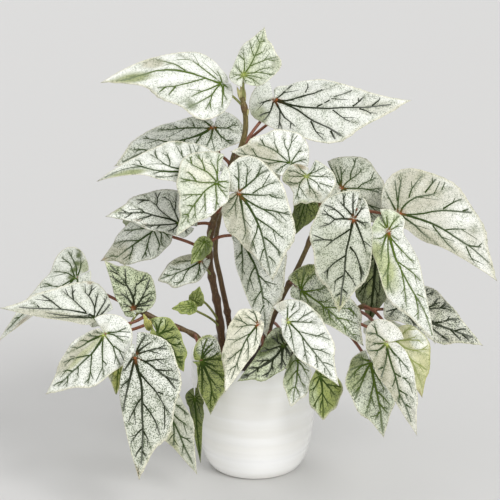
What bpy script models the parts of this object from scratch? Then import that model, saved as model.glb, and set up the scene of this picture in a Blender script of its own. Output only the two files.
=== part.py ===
"""Potted cane begonia: a glazed pot, soil, leaning canes with their stalks, and wing-shaped leaves.

Lengths are millimetres until MM turns them into metres. X runs right, Y away from the viewer and
Z up; the pot stands on z = 0 with its axis on the origin.
"""
import math
import random

import bmesh
import bpy
from mathutils import Matrix, Vector

MM = 0.001
WELD = 0.00001
SEED = 7
COLLECTION = "Potted Cane Begonia"

# Pot: outer and inner outline as (radius, height)
POT_STEPS = 38
POT_FOOT_RADIUS = 41.0
POT_OUTSIDE = ((43.6, 0.7), (45.8, 2.8), (49.4, 9.0), (52.6, 20.0), (55.0, 31.0), (57.2, 48.0),
               (59.8, 66.0), (61.5, 84.0), (62.0, 104.0), (61.8, 113.2))
POT_LIP = ((60.9, 115.4), (59.3, 116.0), (57.9, 115.0))
POT_INSIDE = ((57.2, 112.0), (57.0, 96.0), (55.0, 68.0), (50.2, 34.0), (44.0, 12.0), (38.0, 7.0))
POT_FLOOR = 6.5

# Soil: it fills the pot up to a shallow dome and leaves a small gap to the wall
GAP = 0.5
SOIL_EDGE_Z = 100.0
SOIL_CROWN = 3.5
SOIL_SHOULDER = (0.6, 0.7)
HOLE_HEIGHT = 44.0
HOLE_CLEARANCE = 0.5
HOLE_SIDES = 16

# Colours of the materials, and the leaves that are not silver
GLAZE = (0.86, 0.86, 0.83)
GLAZE_ROUGHNESS = 0.22
EARTH = (0.06, 0.045, 0.035)
EARTH_ROUGHNESS = 0.95
BARK = (0.30, 0.20, 0.11)
BARK_ROUGHNESS = 0.55
SILVER = (0.66, 0.71, 0.64)
LEAF_ROUGHNESS = 0.45
TONES = {
    (0.42, 0.50, 0.30): ("leaf_top", "leaf_front_green", "leaf_mid_small", "leaf_right_tongue",
                         "leaf_pot_front", "leaf_right_hanging", "leaf_left_under"),
    (0.16, 0.24, 0.08): ("leaf_front_dark", "leaf_olive", "leaf_inner_shade", "leaf_right_low",
                         "leaf_pot_left_dark"),
    (0.46, 0.54, 0.14): ("leaf_left_green", "leaf_folded", "leaf_young", "leaf_young_low",
                         "leaf_pot_right", "leaf_pot_left_green", "leaf_left_tip"),
    (0.72, 0.66, 0.24): ("leaf_right_yellow", "leaf_yellow_bud"),
}

# Leaf blades
BLADE_THICKNESS = 0.8
BLADE_COLUMNS = 16
BLADE_ROWS = (0.42, 0.76, 1.0)
SMALL_BLADE = 46.0
SMALL_ROWS = (0.6, 1.0)
NOTCH_ANGLE = 175.0
TIP_SHARPNESS = 1.25
BACK_DROOP = 0.4
STRAIGHT = 0.0001
VEIN_SPREAD = 0.35
TOOTH = 0.03
RIPPLE = 0.014
RIPPLE_WAVES = 3.1
PLEAT = 0.012

# Stalks from a cane to a blade
STALK_RADIUS = 1.35
STALK_TAPER = 0.15
STALK_SIDES = 1
STALK_STEPS = 5
STALK_START_PULL = 0.28
STALK_CANE_PULL = 0.6
STALK_END_PULL = (16.0, 0.4)
STALK_END_LIFT = (3.0, 0.1)
STALK_SEAT_GAP = 0.85

# Stalks that go round something: the way they leave the cane and the side they reach the joint
ROUTES = {
    "leaf_upper_left": ((0, 14, 0), (0, 16, -14)),
    "leaf_right_back": ((6, 14, -2), (-6, 14, -12)),
    "leaf_front_left_white": ((0, -25, 4), (6, 14, -24)),
    "leaf_right_low": ((8, 14, -8), (-4, 12, -12)),
    "leaf_inner_shade": ((8, 22, -8), (-8, 14, 4)),
    "leaf_left_white": ((-6, -4, -8), (8, 8, -14)),
    "leaf_back_pot": ((-15, 45, 34), (0, -13, 15)),
    "leaf_yellow_bud": ((4, -2, -8), (0, 14, -6)),
    "leaf_left_front_big": ((-2, -8, -22), (2, 18, -8)),
    "leaf_left_front": ((-4, -8, -6), (6, 14, -6)),
    "leaf_pot_left_dark": ((-2, -8, 6), (0, 14, 3)),
    "leaf_left_under": ((-4, -10, 4), (0, 14, 2)),
    "leaf_pot_left_green": ((0, -8, 6), (0, 12, 4)),
}

# Canes: each row is the radius at the foot, the radius at the top and the path; a path is
# sampled in steps between its points, and a cane's bevel has a few sides
PATH_STEPS = 3
CANE_SIDES = 2
CANES = {
    "cane_main": (4.0, 2.2, ((-31, -6, 82), (-31, -6, 104), (-31, -6, 112), (-35, -7, 158), (-43, -8, 207),
                             (-40, -8, 242), (-25, -9, 280), (-11, -10, 323), (-9, -10, 343),
                             (-12, -12, 362))),
    "cane_back": (3.4, 1.9, ((-22, 16, 82), (-22, 16, 104), (-22, 16, 112), (-27, 14, 150), (-33, 12, 182),
                             (-38, 16, 215), (-30, 34, 262), (-20, 48, 300))),
    "cane_right": (3.4, 1.9, ((6, -14, 82), (6, -14, 104), (6, -14, 112), (12, -16, 140), (24, -18, 172),
                              (42, -10, 206), (56, -4, 240), (62, 2, 270))),
    "cane_low_right": (3.2, 1.9, ((26, 8, 82), (26, 8, 104), (26, 8, 112), (36, 2, 126), (60, -8, 146),
                                  (84, -16, 158), (104, -19, 167))),
    "cane_low_left": (3.2, 1.8, ((-34, -26, 82), (-34, -26, 104), (-34, -26, 112), (-42, -32, 128),
                                 (-60, -38, 146), (-88, -44, 160), (-118, -44, 176))),
}

# Leaves, by name: the cane and the share of its length where the stalk leaves it; joint; tip; the
# way the blade faces (degrees round from the viewer, degrees up); the reach of the margin along
# the four side veins to the right and to the left of the midrib, as shares of the midrib;
# then the turn of the notch, the droop of the tip, the fold of the halves and the midrib's bow
LEAVES = {
    "leaf_top": ("cane_main", 0.97, (-11, -20, 383), (8, -5, 424), (-5, 25),
                 (0.80, 0.74, 0.38, 0.13), (0.58, 0.28, 0.27, 0.21), (20, 12, -0.05, 0.0)),
    "leaf_top_left": ("cane_main", 0.96, (-30, -12, 374), (-137, -30, 378), (-15, 30),
                      (0.46, 0.28, 0.12, 0.07), (0.57, 0.41, 0.15, 0.08), (20, 26, -0.08, 0.10)),
    "leaf_top_right": ("cane_main", 0.82, (17, 8, 357), (141, -4, 358), (-4, 35),
                       (0.55, 0.23, 0.20, 0.19), (0.62, 0.39, 0.15, 0.08),
                       (-80, 22, -0.08, 0.055)),
    "leaf_upper_left": ("cane_main", 0.70, (-39, 15, 330), (-130, -4, 297), (-15, 40),
                        (0.76, 0.35, 0.15, 0.07), (0.43, 0.27, 0.31, 0.22), (60, 20, -0.08, 0.0)),
    "leaf_left_hook": ("cane_main", 0.68, (-57, -50, 301), (-139, -64, 296), (-10, 35),
                       (0.50, 0.38, 0.40, 0.45), (0.38, 0.21, 0.20, 0.20), (0, 30, -0.10, 0.085)),
    "leaf_front_green": ("cane_main", 0.64, (-34, -75, 297), (-69, -95, 254), (-10, 25),
                         (0.68, 0.60, 0.66, 0.50), (0.54, 0.33, 0.20, 0.32),
                         (20, 20, -0.06, 0.0)),
    "leaf_left_spotted": ("cane_main", 0.56, (-69, -35, 250), (-133, -60, 263), (-10, 40),
                          (0.70, 0.52, 0.51, 0.28), (0.47, 0.23, 0.19, 0.22),
                          (0, 20, -0.06, 0.04)),
    "leaf_left_lower": ("cane_main", 0.46, (-94, -12, 239), (-142, -32, 214), (-10, 30),
                        (0.60, 0.36, 0.18, 0.20), (0.76, 0.50, 0.35, 0.27), (0, 20, -0.05, 0.0)),
    "leaf_upper_mid": ("cane_main", 0.74, (31, -44, 308), (-22, -56, 321), (10, 25),
                       (0.74, 0.59, 0.52, 0.32), (0.50, 0.27, 0.20, 0.22), (0, 16, -0.05, 0.0)),
    "leaf_front_heart": ("cane_main", 0.60, (-15, -70, 287), (15, -85, 211), (0, 20),
                         (0.60, 0.42, 0.24, 0.07), (0.76, 0.47, 0.40, 0.16),
                         (65, 20, -0.06, 0.0)),
    "leaf_front_long": ("cane_main", 0.50, (-13, -46, 240), (10, -62, 150), (0, 15),
                        (0.26, 0.10, 0.09, 0.12), (0.70, 0.46, 0.22, 0.18), (10, 16, -0.06, 0.03)),
    "leaf_small_left": ("cane_main", 0.38, (-50, -30, 213), (-90, -45, 199), (-5, 45),
                        (0.67, 0.33, 0.12, 0.15), (0.81, 0.46, 0.20, 0.20), (0, 14, -0.04, 0.0)),
    "leaf_folded": ("cane_main", 0.54, (-46, -45, 236), (-59, -52, 216), (-15, 10),
                    (0.60, 0.36, 0.26, 0.20), (0.70, 0.45, 0.30, 0.20), (0, 16, -0.20, 0.0)),
    "leaf_young": ("cane_main", 0.22, (-56, -35, 175), (-51, -42, 193), (-5, 25),
                   (0.72, 0.50, 0.34, 0.22), (0.62, 0.42, 0.30, 0.20), (0, 14, -0.08, 0.0)),
    "leaf_young_low": ("cane_main", 0.20, (-57, -44, 174), (-77, -54, 175), (-5, 30),
                       (0.60, 0.34, 0.22, 0.16), (0.66, 0.40, 0.26, 0.18), (0, 14, -0.08, 0.0)),
    "leaf_knob": ("cane_right", 0.95, (45, -52, 298), (33, -62, 273), (5, 25),
                  (0.62, 0.74, 0.54, 0.25), (0.84, 0.94, 0.92, 0.60), (0, 20, -0.04, 0.0)),
    "leaf_olive": ("cane_right", 0.97, (46, -22, 269), (36, -24, 236), (15, 10),
                   (0.59, 0.32, 0.20, 0.20), (0.67, 0.55, 0.30, 0.20), (0, 14, -0.08, 0.0)),
    "leaf_right_back": ("cane_right", 0.84, (81, 20, 271), (133, 6, 233), (15, 35),
                        (0.58, 0.32, 0.26, 0.22), (0.78, 0.65, 0.65, 0.48), (-28, 20, -0.05, 0.0)),
    "leaf_centre_spotted": ("cane_right", 0.86, (86, -75, 265), (73, -95, 185), (5, 20),
                            (0.72, 0.49, 0.36, 0.30), (0.64, 0.28, 0.18, 0.25),
                            (-10, 18, -0.06, 0.0)),
    "leaf_right_big": ("cane_right", 0.90, (130, -30, 259), (220, -45, 199), (15, 35),
                       (0.33, 0.14, 0.12, 0.12), (0.77, 0.59, 0.41, 0.14), (15, 24, -0.08, -0.03)),
    "leaf_right_tongue": ("cane_right", 0.78, (117, -70, 252), (158, -100, 158), (10, 15),
                          (0.58, 0.22, 0.15, 0.15), (0.36, 0.13, 0.19, 0.20),
                          (0, 20, -0.08, 0.0)),
    "leaf_mid_small": ("cane_right", 0.55, (41, -55, 193), (97, -75, 147), (5, 35),
                       (0.42, 0.17, 0.14, 0.12), (0.78, 0.42, 0.38, 0.22), (0, 20, -0.06, 0.0)),
    "leaf_front_white": ("cane_right", 0.42, (28, -95, 177), (72, -125, 128), (5, 25),
                         (0.51, 0.19, 0.08, 0.08), (0.65, 0.40, 0.32, 0.26), (10, 20, -0.06, 0.0)),
    "leaf_front_left_white": ("cane_right", 0.20, (2, -100, 176), (-27, -125, 121), (-5, 20),
                              (0.64, 0.39, 0.29, 0.13), (0.35, 0.12, 0.08, 0.07),
                              (0, 18, -0.06, 0.0)),
    "leaf_front_dark": ("cane_right", 0.28, (25, -88, 152), (-16, -102, 123), (-5, 35),
                        (0.46, 0.34, 0.34, 0.19), (0.71, 0.39, 0.17, 0.20), (0, 18, -0.06, 0.0)),
    "leaf_inner_shade": ("cane_right", 0.76, (115, 8, 208), (110, 4, 142), (5, 12),
                         (0.64, 0.26, 0.16, 0.14), (0.64, 0.26, 0.16, 0.14), (0, 12, -0.14, 0.0)),
    "leaf_right_low": ("cane_low_right", 0.96, (141, -14, 168), (212, -36, 133), (15, 35),
                       (0.63, 0.27, 0.30, 0.22), (0.58, 0.39, 0.23, 0.19), (0, 22, -0.06, 0.0)),
    "leaf_pot_front": ("cane_low_right", 0.36, (37, -85, 137), (31, -105, 99), (0, 15),
                       (0.58, 0.20, 0.14, 0.18), (0.75, 0.38, 0.18, 0.20), (0, 16, -0.06, 0.0)),
    "leaf_pot_right": ("cane_low_right", 0.44, (58, -80, 120), (61, -90, 80), (5, 15),
                       (0.68, 0.28, 0.14, 0.18), (0.81, 0.58, 0.28, 0.22), (0, 14, -0.10, 0.0)),
    "leaf_right_front": ("cane_low_right", 0.90, (114, -110, 162), (140, -135, 86), (10, 20),
                         (0.35, 0.22, 0.27, 0.19), (0.68, 0.42, 0.23, 0.10),
                         (-100, 20, -0.06, 0.0)),
    "leaf_right_yellow": ("cane_low_right", 0.98, (125, -85, 156), (149, -95, 105), (10, 25),
                          (0.36, 0.24, 0.22, 0.20), (0.73, 0.56, 0.33, 0.12),
                          (0, 18, -0.06, 0.0)),
    "leaf_right_hanging": ("cane_low_right", 0.68, (102, -90, 137), (114, -110, 73), (10, 20),
                           (0.69, 0.44, 0.24, 0.16), (0.62, 0.32, 0.24, 0.18),
                           (0, 18, -0.06, 0.0)),
    "leaf_left_white": ("cane_low_left", 0.86, (-143, -70, 170), (-227, -80, 184), (-15, 45),
                        (0.72, 0.52, 0.46, 0.23), (0.16, 0.09, 0.08, 0.08),
                        (40, 18, -0.05, -0.02)),
    "leaf_left_far": ("cane_low_left", 0.80, (-166, -25, 196), (-238, -45, 140), (-25, 45),
                      (0.48, 0.33, 0.42, 0.14), (0.28, 0.18, 0.16, 0.15), (0, 24, -0.05, 0.0)),
    "leaf_left_round": ("cane_low_left", 0.88, (-112, -54, 175), (-137, -48, 219), (-5, 30),
                        (0.78, 0.67, 0.39, 0.10), (0.41, 0.20, 0.18, 0.16), (0, 14, -0.05, 0.0)),
    "leaf_left_front_big": ("cane_low_left", 0.74, (-105, -115, 152), (-101, -150, 51), (-5, 15),
                            (0.32, 0.11, 0.08, 0.10), (0.71, 0.45, 0.29, 0.19),
                            (0, 16, -0.06, 0.02)),
    "leaf_left_front": ("cane_low_left", 0.80, (-134, -90, 163), (-185, -110, 114), (-10, 25),
                        (0.66, 0.40, 0.19, 0.10), (0.65, 0.42, 0.32, 0.24), (83, 20, -0.06, 0.0)),
    "leaf_left_green": ("cane_low_left", 0.66, (-87, -85, 161), (-64, -95, 128), (0, 15),
                        (0.28, 0.22, 0.18, 0.20), (0.76, 0.49, 0.43, 0.37), (0, 16, -0.06, 0.0)),
    "leaf_left_under": ("cane_low_left", 0.62, (-82, -80, 101), (-54, -78, 22), (-5, 15),
                        (0.52, 0.30, 0.24, 0.20), (0.46, 0.17, 0.18, 0.20), (0, 14, -0.06, 0.0)),
    "leaf_left_tip": ("cane_low_left", 0.90, (-122, -75, 141), (-126, -85, 102), (-5, 20),
                      (0.60, 0.30, 0.28, 0.22), (0.52, 0.32, 0.28, 0.22), (0, 14, -0.06, 0.0)),
    "leaf_yellow_bud": ("cane_low_left", 0.84, (-96, -66, 160), (-101, -70, 176), (-5, 10),
                        (0.50, 0.26, 0.20, 0.16), (0.46, 0.24, 0.18, 0.16), (0, 12, -0.10, 0.0)),
    "leaf_pot_left_dark": ("cane_low_left", 0.52, (-56, -62, 91), (-51, -70, 30), (-10, 5),
                           (0.24, 0.15, 0.15, 0.15), (0.30, 0.15, 0.15, 0.15),
                           (0, 12, -0.08, 0.0)),
    "leaf_pot_left_green": ("cane_low_left", 0.50, (-49, -72, 131), (-41, -80, 82), (0, 15),
                            (0.59, 0.20, 0.12, 0.16), (0.67, 0.38, 0.48, 0.12),
                            (80, 14, -0.10, 0.0)),
    "leaf_back_upper": ("cane_back", 0.97, (30, 60, 349), (84, 92, 354), (170, 40),
                        (0.70, 0.42, 0.34, 0.20), (0.56, 0.30, 0.26, 0.18), (0, 22, -0.06, 0.0)),
    "leaf_back_middle": ("cane_back", 0.93, (6, 58, 290), (6, 92, 222), (185, 30),
                         (0.58, 0.32, 0.28, 0.18), (0.72, 0.44, 0.36, 0.20), (0, 22, -0.06, 0.0)),
    "leaf_back_top_left": ("cane_back", 0.94, (-64, 52, 317), (-112, 78, 291), (200, 40),
                           (0.56, 0.32, 0.28, 0.18), (0.70, 0.42, 0.34, 0.20),
                           (0, 22, -0.06, 0.0)),
    "leaf_back_left": ("cane_back", 0.70, (-91, 30, 254), (-127, 58, 214), (205, 30),
                       (0.60, 0.34, 0.28, 0.18), (0.72, 0.42, 0.34, 0.20), (0, 22, -0.06, 0.0)),
    "leaf_back_right": ("cane_right", 0.84, (91, 42, 263), (85, 72, 198), (170, 30),
                        (0.72, 0.44, 0.36, 0.20), (0.58, 0.32, 0.28, 0.18), (0, 22, -0.06, 0.0)),
    "leaf_back_pot": ("cane_low_right", 0.30, (0, 85, 90), (7, 108, 16), (180, 20),
                      (0.58, 0.32, 0.28, 0.18), (0.72, 0.44, 0.36, 0.20), (0, 20, -0.06, 0.0)),
    "leaf_back_low_right": ("cane_low_right", 0.76, (122, -5, 141), (127, 32, 84), (165, 25),
                            (0.70, 0.44, 0.36, 0.20), (0.58, 0.32, 0.28, 0.18),
                            (0, 20, -0.06, 0.0)),
}


def new_collection(name):
    """Make a collection under the scene."""
    made = bpy.data.collections.new(name)
    bpy.context.scene.collection.children.link(made)
    return made


def material(name, color, roughness):
    """Make a Principled material of one colour."""
    made = bpy.data.materials.new(name)
    made.use_nodes = True
    shader = made.node_tree.nodes["Principled BSDF"]
    shader.inputs["Base Color"].default_value = (*color, 1.0)
    shader.inputs["Roughness"].default_value = roughness
    return made


def new_object(name, mesh, collection, mat):
    """Wrap a mesh in an object of the given collection with its material."""
    made = bpy.data.objects.new(name, mesh)
    collection.objects.link(made)
    mesh.materials.append(mat)
    return made


def apply_modifiers(obj):
    """Put the result of the object's modifiers in its mesh."""
    graph = bpy.context.evaluated_depsgraph_get()
    mesh = bpy.data.meshes.new_from_object(obj.evaluated_get(graph))
    old = obj.data
    obj.modifiers.clear()
    obj.data = mesh
    bpy.data.meshes.remove(old)


def lathe(name, outline, steps, collection, mat):
    """Turn an outline of (radius, height) pairs round the Z axis."""
    mesh = bpy.data.meshes.new(name)
    bm = bmesh.new()
    row = [bm.verts.new((radius * MM, 0.0, height * MM)) for radius, height in outline]
    for first, second in zip(row, row[1:]):
        bm.edges.new((first, second))
    bm.to_mesh(mesh)
    bm.free()
    obj = new_object(name, mesh, collection, mat)
    screw = obj.modifiers.new("Turn", "SCREW")
    screw.axis = "Z"
    screw.steps = steps
    screw.render_steps = steps
    screw.use_merge_vertices = True
    screw.merge_threshold = WELD
    screw.use_normal_calculate = True
    screw.use_smooth_shade = True
    apply_modifiers(obj)
    return obj


def smooth_path(points, steps):
    """Sample a Catmull-Rom curve through points, steps per stretch."""
    corners = [Vector(point) for point in points]
    corners = [corners[0] * 2 - corners[1], *corners, corners[-1] * 2 - corners[-2]]
    found = []
    for a, b, c, d in zip(corners, corners[1:], corners[2:], corners[3:]):
        for step in range(steps):
            t = step / steps
            found.append(0.5 * (2 * b + (c - a) * t + (2 * a - 5 * b + 4 * c - d) * t * t
                                + (3 * b - a - 3 * c + d) * t ** 3))
    found.append(corners[-2])
    return found


def tube(name, points, radii, sides, collection, mat):
    """Sweep a round section along points as a curve with a bevel, and make it a closed mesh."""
    curve = bpy.data.curves.new(name, "CURVE")
    curve.dimensions = "3D"
    curve.bevel_depth = MM
    curve.bevel_resolution = sides
    curve.use_fill_caps = True
    spline = curve.splines.new("POLY")
    spline.points.add(len(points) - 1)
    for knot, point, radius in zip(spline.points, points, radii):
        knot.co = (*(Vector(point) * MM), 1.0)
        knot.radius = radius
    holder = bpy.data.objects.new(name, curve)
    collection.objects.link(holder)
    graph = bpy.context.evaluated_depsgraph_get()
    mesh = bpy.data.meshes.new_from_object(holder.evaluated_get(graph))
    bpy.data.objects.remove(holder)
    bm = bmesh.new()
    bm.from_mesh(mesh)
    bmesh.ops.remove_doubles(bm, verts=bm.verts, dist=WELD)
    bmesh.ops.recalc_face_normals(bm, faces=bm.faces)
    bm.to_mesh(mesh)
    bm.free()
    mesh.materials.clear()
    return new_object(name, mesh, collection, mat)


def along(points, share):
    """Give the point and direction at a share of a path's length."""
    lengths = [0.0]
    for first, second in zip(points, points[1:]):
        lengths.append(lengths[-1] + (second - first).length)
    goal = share * lengths[-1]
    for index in range(1, len(points)):
        if lengths[index] >= goal:
            part = (goal - lengths[index - 1]) / (lengths[index] - lengths[index - 1])
            step = points[index] - points[index - 1]
            return points[index - 1] + step * part, step.normalized()
    return points[-1], (points[-1] - points[-2]).normalized()


def unite(target, collection):
    """Fuse every object of a collection into the target, and remove those objects."""
    union = target.modifiers.new("Fuse", "BOOLEAN")
    union.operation = "UNION"
    union.operand_type = "COLLECTION"
    union.collection = collection
    union.solver = "EXACT"
    apply_modifiers(target)
    for other in list(collection.objects):
        bpy.data.objects.remove(other)
    bpy.data.collections.remove(collection)


def margin(reaches, share):
    """Read the margin's reach between the veins: a smooth curve through the log of each reach."""
    knots = [0.0] + [math.log(reach) for reach in reaches]
    slopes = [(knots[1] - knots[0]) * TIP_SHARPNESS]
    slopes += [(knots[index + 1] - knots[index - 1]) / 2 for index in (1, 2, 3)]
    slopes.append(knots[4] - knots[3])
    place = share * 4
    index = min(3, int(place))
    t = place - index
    return math.exp((2 * t ** 3 - 3 * t ** 2 + 1) * knots[index]
                    + (t ** 3 - 2 * t ** 2 + t) * slopes[index]
                    + (3 * t ** 2 - 2 * t ** 3) * knots[index + 1]
                    + (t ** 3 - t ** 2) * slopes[index + 1])


def blade_point(leaf, sweep, reach, phase):
    """Place a point of a blade of length 1: x to the right of the midrib, y to the tip, z out.

    The sweep runs 0 to 1 round the fan from the left edge of the notch to its right edge, and
    the reach 0 to 1 from the joint to the margin.
    """
    right, left, (turn, droop, fold, bow) = leaf
    offset = sweep * 2 - 1
    share = abs(offset)
    side = 1 if offset > 0 else -1
    spread = VEIN_SPREAD * share + (1 - VEIN_SPREAD) * share * share
    angle = math.radians((NOTCH_ANGLE - turn * side) * spread)
    tooth = math.cos(sweep * BLADE_COLUMNS * math.pi)
    radius = margin(right if offset > 0 else left, share) * reach
    radius *= 1 + TOOTH * (tooth - 1) * min(1, share * 6) * reach
    across = radius * math.sin(angle) * side
    length = radius * math.cos(angle)
    lift = fold * abs(across)
    lift -= PLEAT * tooth * reach * min(1, share * 8)
    lift += RIPPLE * reach ** 3 * math.sin(RIPPLE_WAVES * math.pi * offset + phase)
    if length > 0:
        across += bow * 4 * length * (1 - length)
    curl = math.radians(droop) * length * (1 if length > 0 else BACK_DROOP)
    if abs(curl) < STRAIGHT:
        return Vector((across, length, lift))
    return Vector((across, length * math.sin(curl) / curl + lift * math.sin(curl),
                   lift * math.cos(curl) - length * (1 - math.cos(curl)) / curl))


def blade_frame(leaf, joint, tip, facing, phase):
    """Find the matrix that lands the blade's joint and tip on their points, facing the given way."""
    around, up = (math.radians(value) for value in facing)
    face = Vector((math.cos(up) * math.sin(around), -math.cos(up) * math.cos(around),
                   math.sin(up)))
    reach = Vector(tip) - Vector(joint)
    local_tip = blade_point(leaf, 0.5, 1.0, phase)
    local_tip.x = 0.0
    scale = reach.length / local_tip.length
    forward = reach.normalized()
    normal = (face - forward * face.dot(forward)).normalized()
    right = forward.cross(normal)
    slope = math.atan2(local_tip.z, local_tip.y)
    turn = Matrix.Rotation(-slope, 4, "X")
    axes = Matrix((right, forward, normal)).transposed().to_4x4()
    return Matrix.Translation(joint) @ axes @ turn @ Matrix.Scale(scale, 4)


def make_blade(name, leaf, joint, tip, facing, phase, collection, mat):
    """Build a leaf blade: a fan of a grid warped to the leaf's outline, then thickened."""
    place = blade_frame(leaf, joint, tip, facing, phase)
    mesh = bpy.data.meshes.new(name)
    bm = bmesh.new()
    small = (Vector(tip) - Vector(joint)).length < SMALL_BLADE
    rows = (0.0, *(SMALL_ROWS if small else BLADE_ROWS))
    bmesh.ops.create_grid(bm, x_segments=BLADE_COLUMNS, y_segments=len(rows) - 1, size=0.5)
    for vert in bm.verts:
        column = round((vert.co.x + 0.5) * BLADE_COLUMNS) / BLADE_COLUMNS
        row = round((vert.co.y + 0.5) * (len(rows) - 1))
        vert.co = place @ blade_point(leaf, column, rows[row], phase) * MM
    bmesh.ops.remove_doubles(bm, verts=bm.verts, dist=WELD)
    bmesh.ops.triangulate(bm, faces=bm.faces)
    bm.to_mesh(mesh)
    bm.free()
    obj = new_object(name, mesh, collection, mat)
    solid = obj.modifiers.new("Thickness", "SOLIDIFY")
    solid.thickness = BLADE_THICKNESS * MM
    solid.offset = 0.0
    apply_modifiers(obj)
    return place


def stalk_points(name, start, way, joint, place, fold):
    """Bend a stalk from its cane to just behind the blade's joint, clear of the blade's back."""
    normal = (place.to_3x3() @ Vector((0, 0, 1))).normalized()
    back = (place.to_3x3() @ Vector((0, -1, 0))).normalized()
    joint = Vector(joint)
    gap = (joint - start).length
    first = start + (way * STALK_CANE_PULL + (joint - start).normalized()) * gap * STALK_START_PULL
    most, share = STALK_END_PULL
    lift, lift_share = STALK_END_LIFT
    second = joint - normal * min(most, gap * share) + back * min(lift, gap * lift_share)
    if name in ROUTES:
        leave, arrive = ROUTES[name]
        first = start + Vector(leave)
        second = joint + Vector(arrive)
    tilt = (joint - second).normalized().cross(normal).length
    end = joint - normal * (BLADE_THICKNESS / 2 + STALK_SEAT_GAP
                            + STALK_RADIUS * (tilt + abs(fold)))
    found = []
    for step in range(STALK_STEPS + 1):
        t = step / STALK_STEPS
        found.append(start * (1 - t) ** 3 + first * (3 * t * (1 - t) ** 2)
                     + second * (3 * t * t * (1 - t)) + end * t ** 3)
    return found


def stem_hole(name, foot, radius, holes):
    """Make the cutter of a plain round hole in the soil, standing just below a cane's foot."""
    mesh = bpy.data.meshes.new(name)
    bm = bmesh.new()
    bmesh.ops.create_cone(bm, cap_ends=True, segments=HOLE_SIDES, radius1=radius * MM,
                          radius2=radius * MM, depth=HOLE_HEIGHT * MM)
    middle = Vector((foot[0], foot[1], foot[2] - GAP + HOLE_HEIGHT / 2))
    bmesh.ops.translate(bm, verts=bm.verts, vec=middle * MM)
    bm.to_mesh(mesh)
    bm.free()
    cutter = bpy.data.objects.new(name, mesh)
    holes.objects.link(cutter)
    cutter.hide_render = True
    cutter.display_type = "WIRE"


def build():
    """Build the pot, soil, canes and leaves."""
    for obj in list(bpy.data.objects):
        bpy.data.objects.remove(obj)
    home = new_collection(COLLECTION)
    pot_outline = ((0.0, 0.0), (POT_FOOT_RADIUS, 0.0), *POT_OUTSIDE, *POT_LIP, *POT_INSIDE,
                   (0.0, POT_FLOOR))
    glaze = material("white_glaze", GLAZE, GLAZE_ROUGHNESS)
    lathe("pot", pot_outline, POT_STEPS, home, glaze)

    wall = [(radius - GAP, height) for radius, height in reversed(POT_INSIDE)
            if height < SOIL_EDGE_Z]
    soil_outline = [(0.0, POT_FLOOR + GAP), (wall[0][0], wall[0][1] + GAP), *wall[1:],
                    (wall[-1][0], SOIL_EDGE_Z),
                    (wall[-1][0] * SOIL_SHOULDER[0], SOIL_EDGE_Z + SOIL_CROWN * SOIL_SHOULDER[1]),
                    (0.0, SOIL_EDGE_Z + SOIL_CROWN)]
    earth = material("potting_soil", EARTH, EARTH_ROUGHNESS)
    soil = lathe("soil", soil_outline, POT_STEPS, home, earth)

    holes = new_collection("Hole Cutters")
    paths = {}
    stalks = {}
    for name, (foot_radius, top_radius, corners) in CANES.items():
        path = smooth_path(corners, PATH_STEPS)
        radii = [foot_radius + (top_radius - foot_radius) * index / (len(path) - 1)
                 for index in range(len(path))]
        paths[name] = path
        bark = material(name + "_skin", BARK, BARK_ROUGHNESS)
        tube(name, path, radii, CANE_SIDES, home, bark)
        stalks[name] = new_collection(name + " stalks")
        stem_hole(name + "_hole", corners[0], foot_radius + HOLE_CLEARANCE, holes)
    cut = soil.modifiers.new("Stem holes", "BOOLEAN")
    cut.operation = "DIFFERENCE"
    cut.operand_type = "COLLECTION"
    cut.collection = holes
    cut.solver = "EXACT"

    rng = random.Random(SEED)
    for name, row in LEAVES.items():
        cane, share, joint, tip, facing, *leaf = row
        phase = rng.uniform(0, math.tau)
        tone = next((tone for tone, names in TONES.items() if name in names), SILVER)
        skin = material(name + "_skin", tone, LEAF_ROUGHNESS)
        place = make_blade(name, leaf, joint, tip, facing, phase, home, skin)
        start, way = along(paths[cane], share)
        points = stalk_points(name, start, way, joint, place, leaf[-1][2])
        radii = [STALK_RADIUS * (1 + STALK_TAPER * (1 - index / STALK_STEPS))
                 for index in range(len(points))]
        bark = bpy.data.objects[cane].data.materials[0]
        tube("stalk_" + name, points, radii, STALK_SIDES, stalks[cane], bark)
    for name in CANES:
        unite(bpy.data.objects[name], stalks[name])


build()
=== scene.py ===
"""Looks of the potted cane begonia, laid out as a Blender add-on and run as a script.

The tables hold millimetres, as a plant is measured, and MM turns them into metres. X runs right,
Y away from the viewer and Z up. The pot stands on z = 0 with its axis on the origin.

A blade is described laid flat: x to the right of the midrib, y to the tip, with the joint at 0, 0
and the midrib 1 long. A point on it is also given by its sweep (0 to 1 round the fan from the left
lobe to the right one, 0.5 on the midrib) and its reach (0 at the joint, 1 on the margin).
"""
import math
import random
from collections import namedtuple

import bmesh
import bpy
import numpy as np
from mathutils import Matrix, Vector, noise


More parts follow.
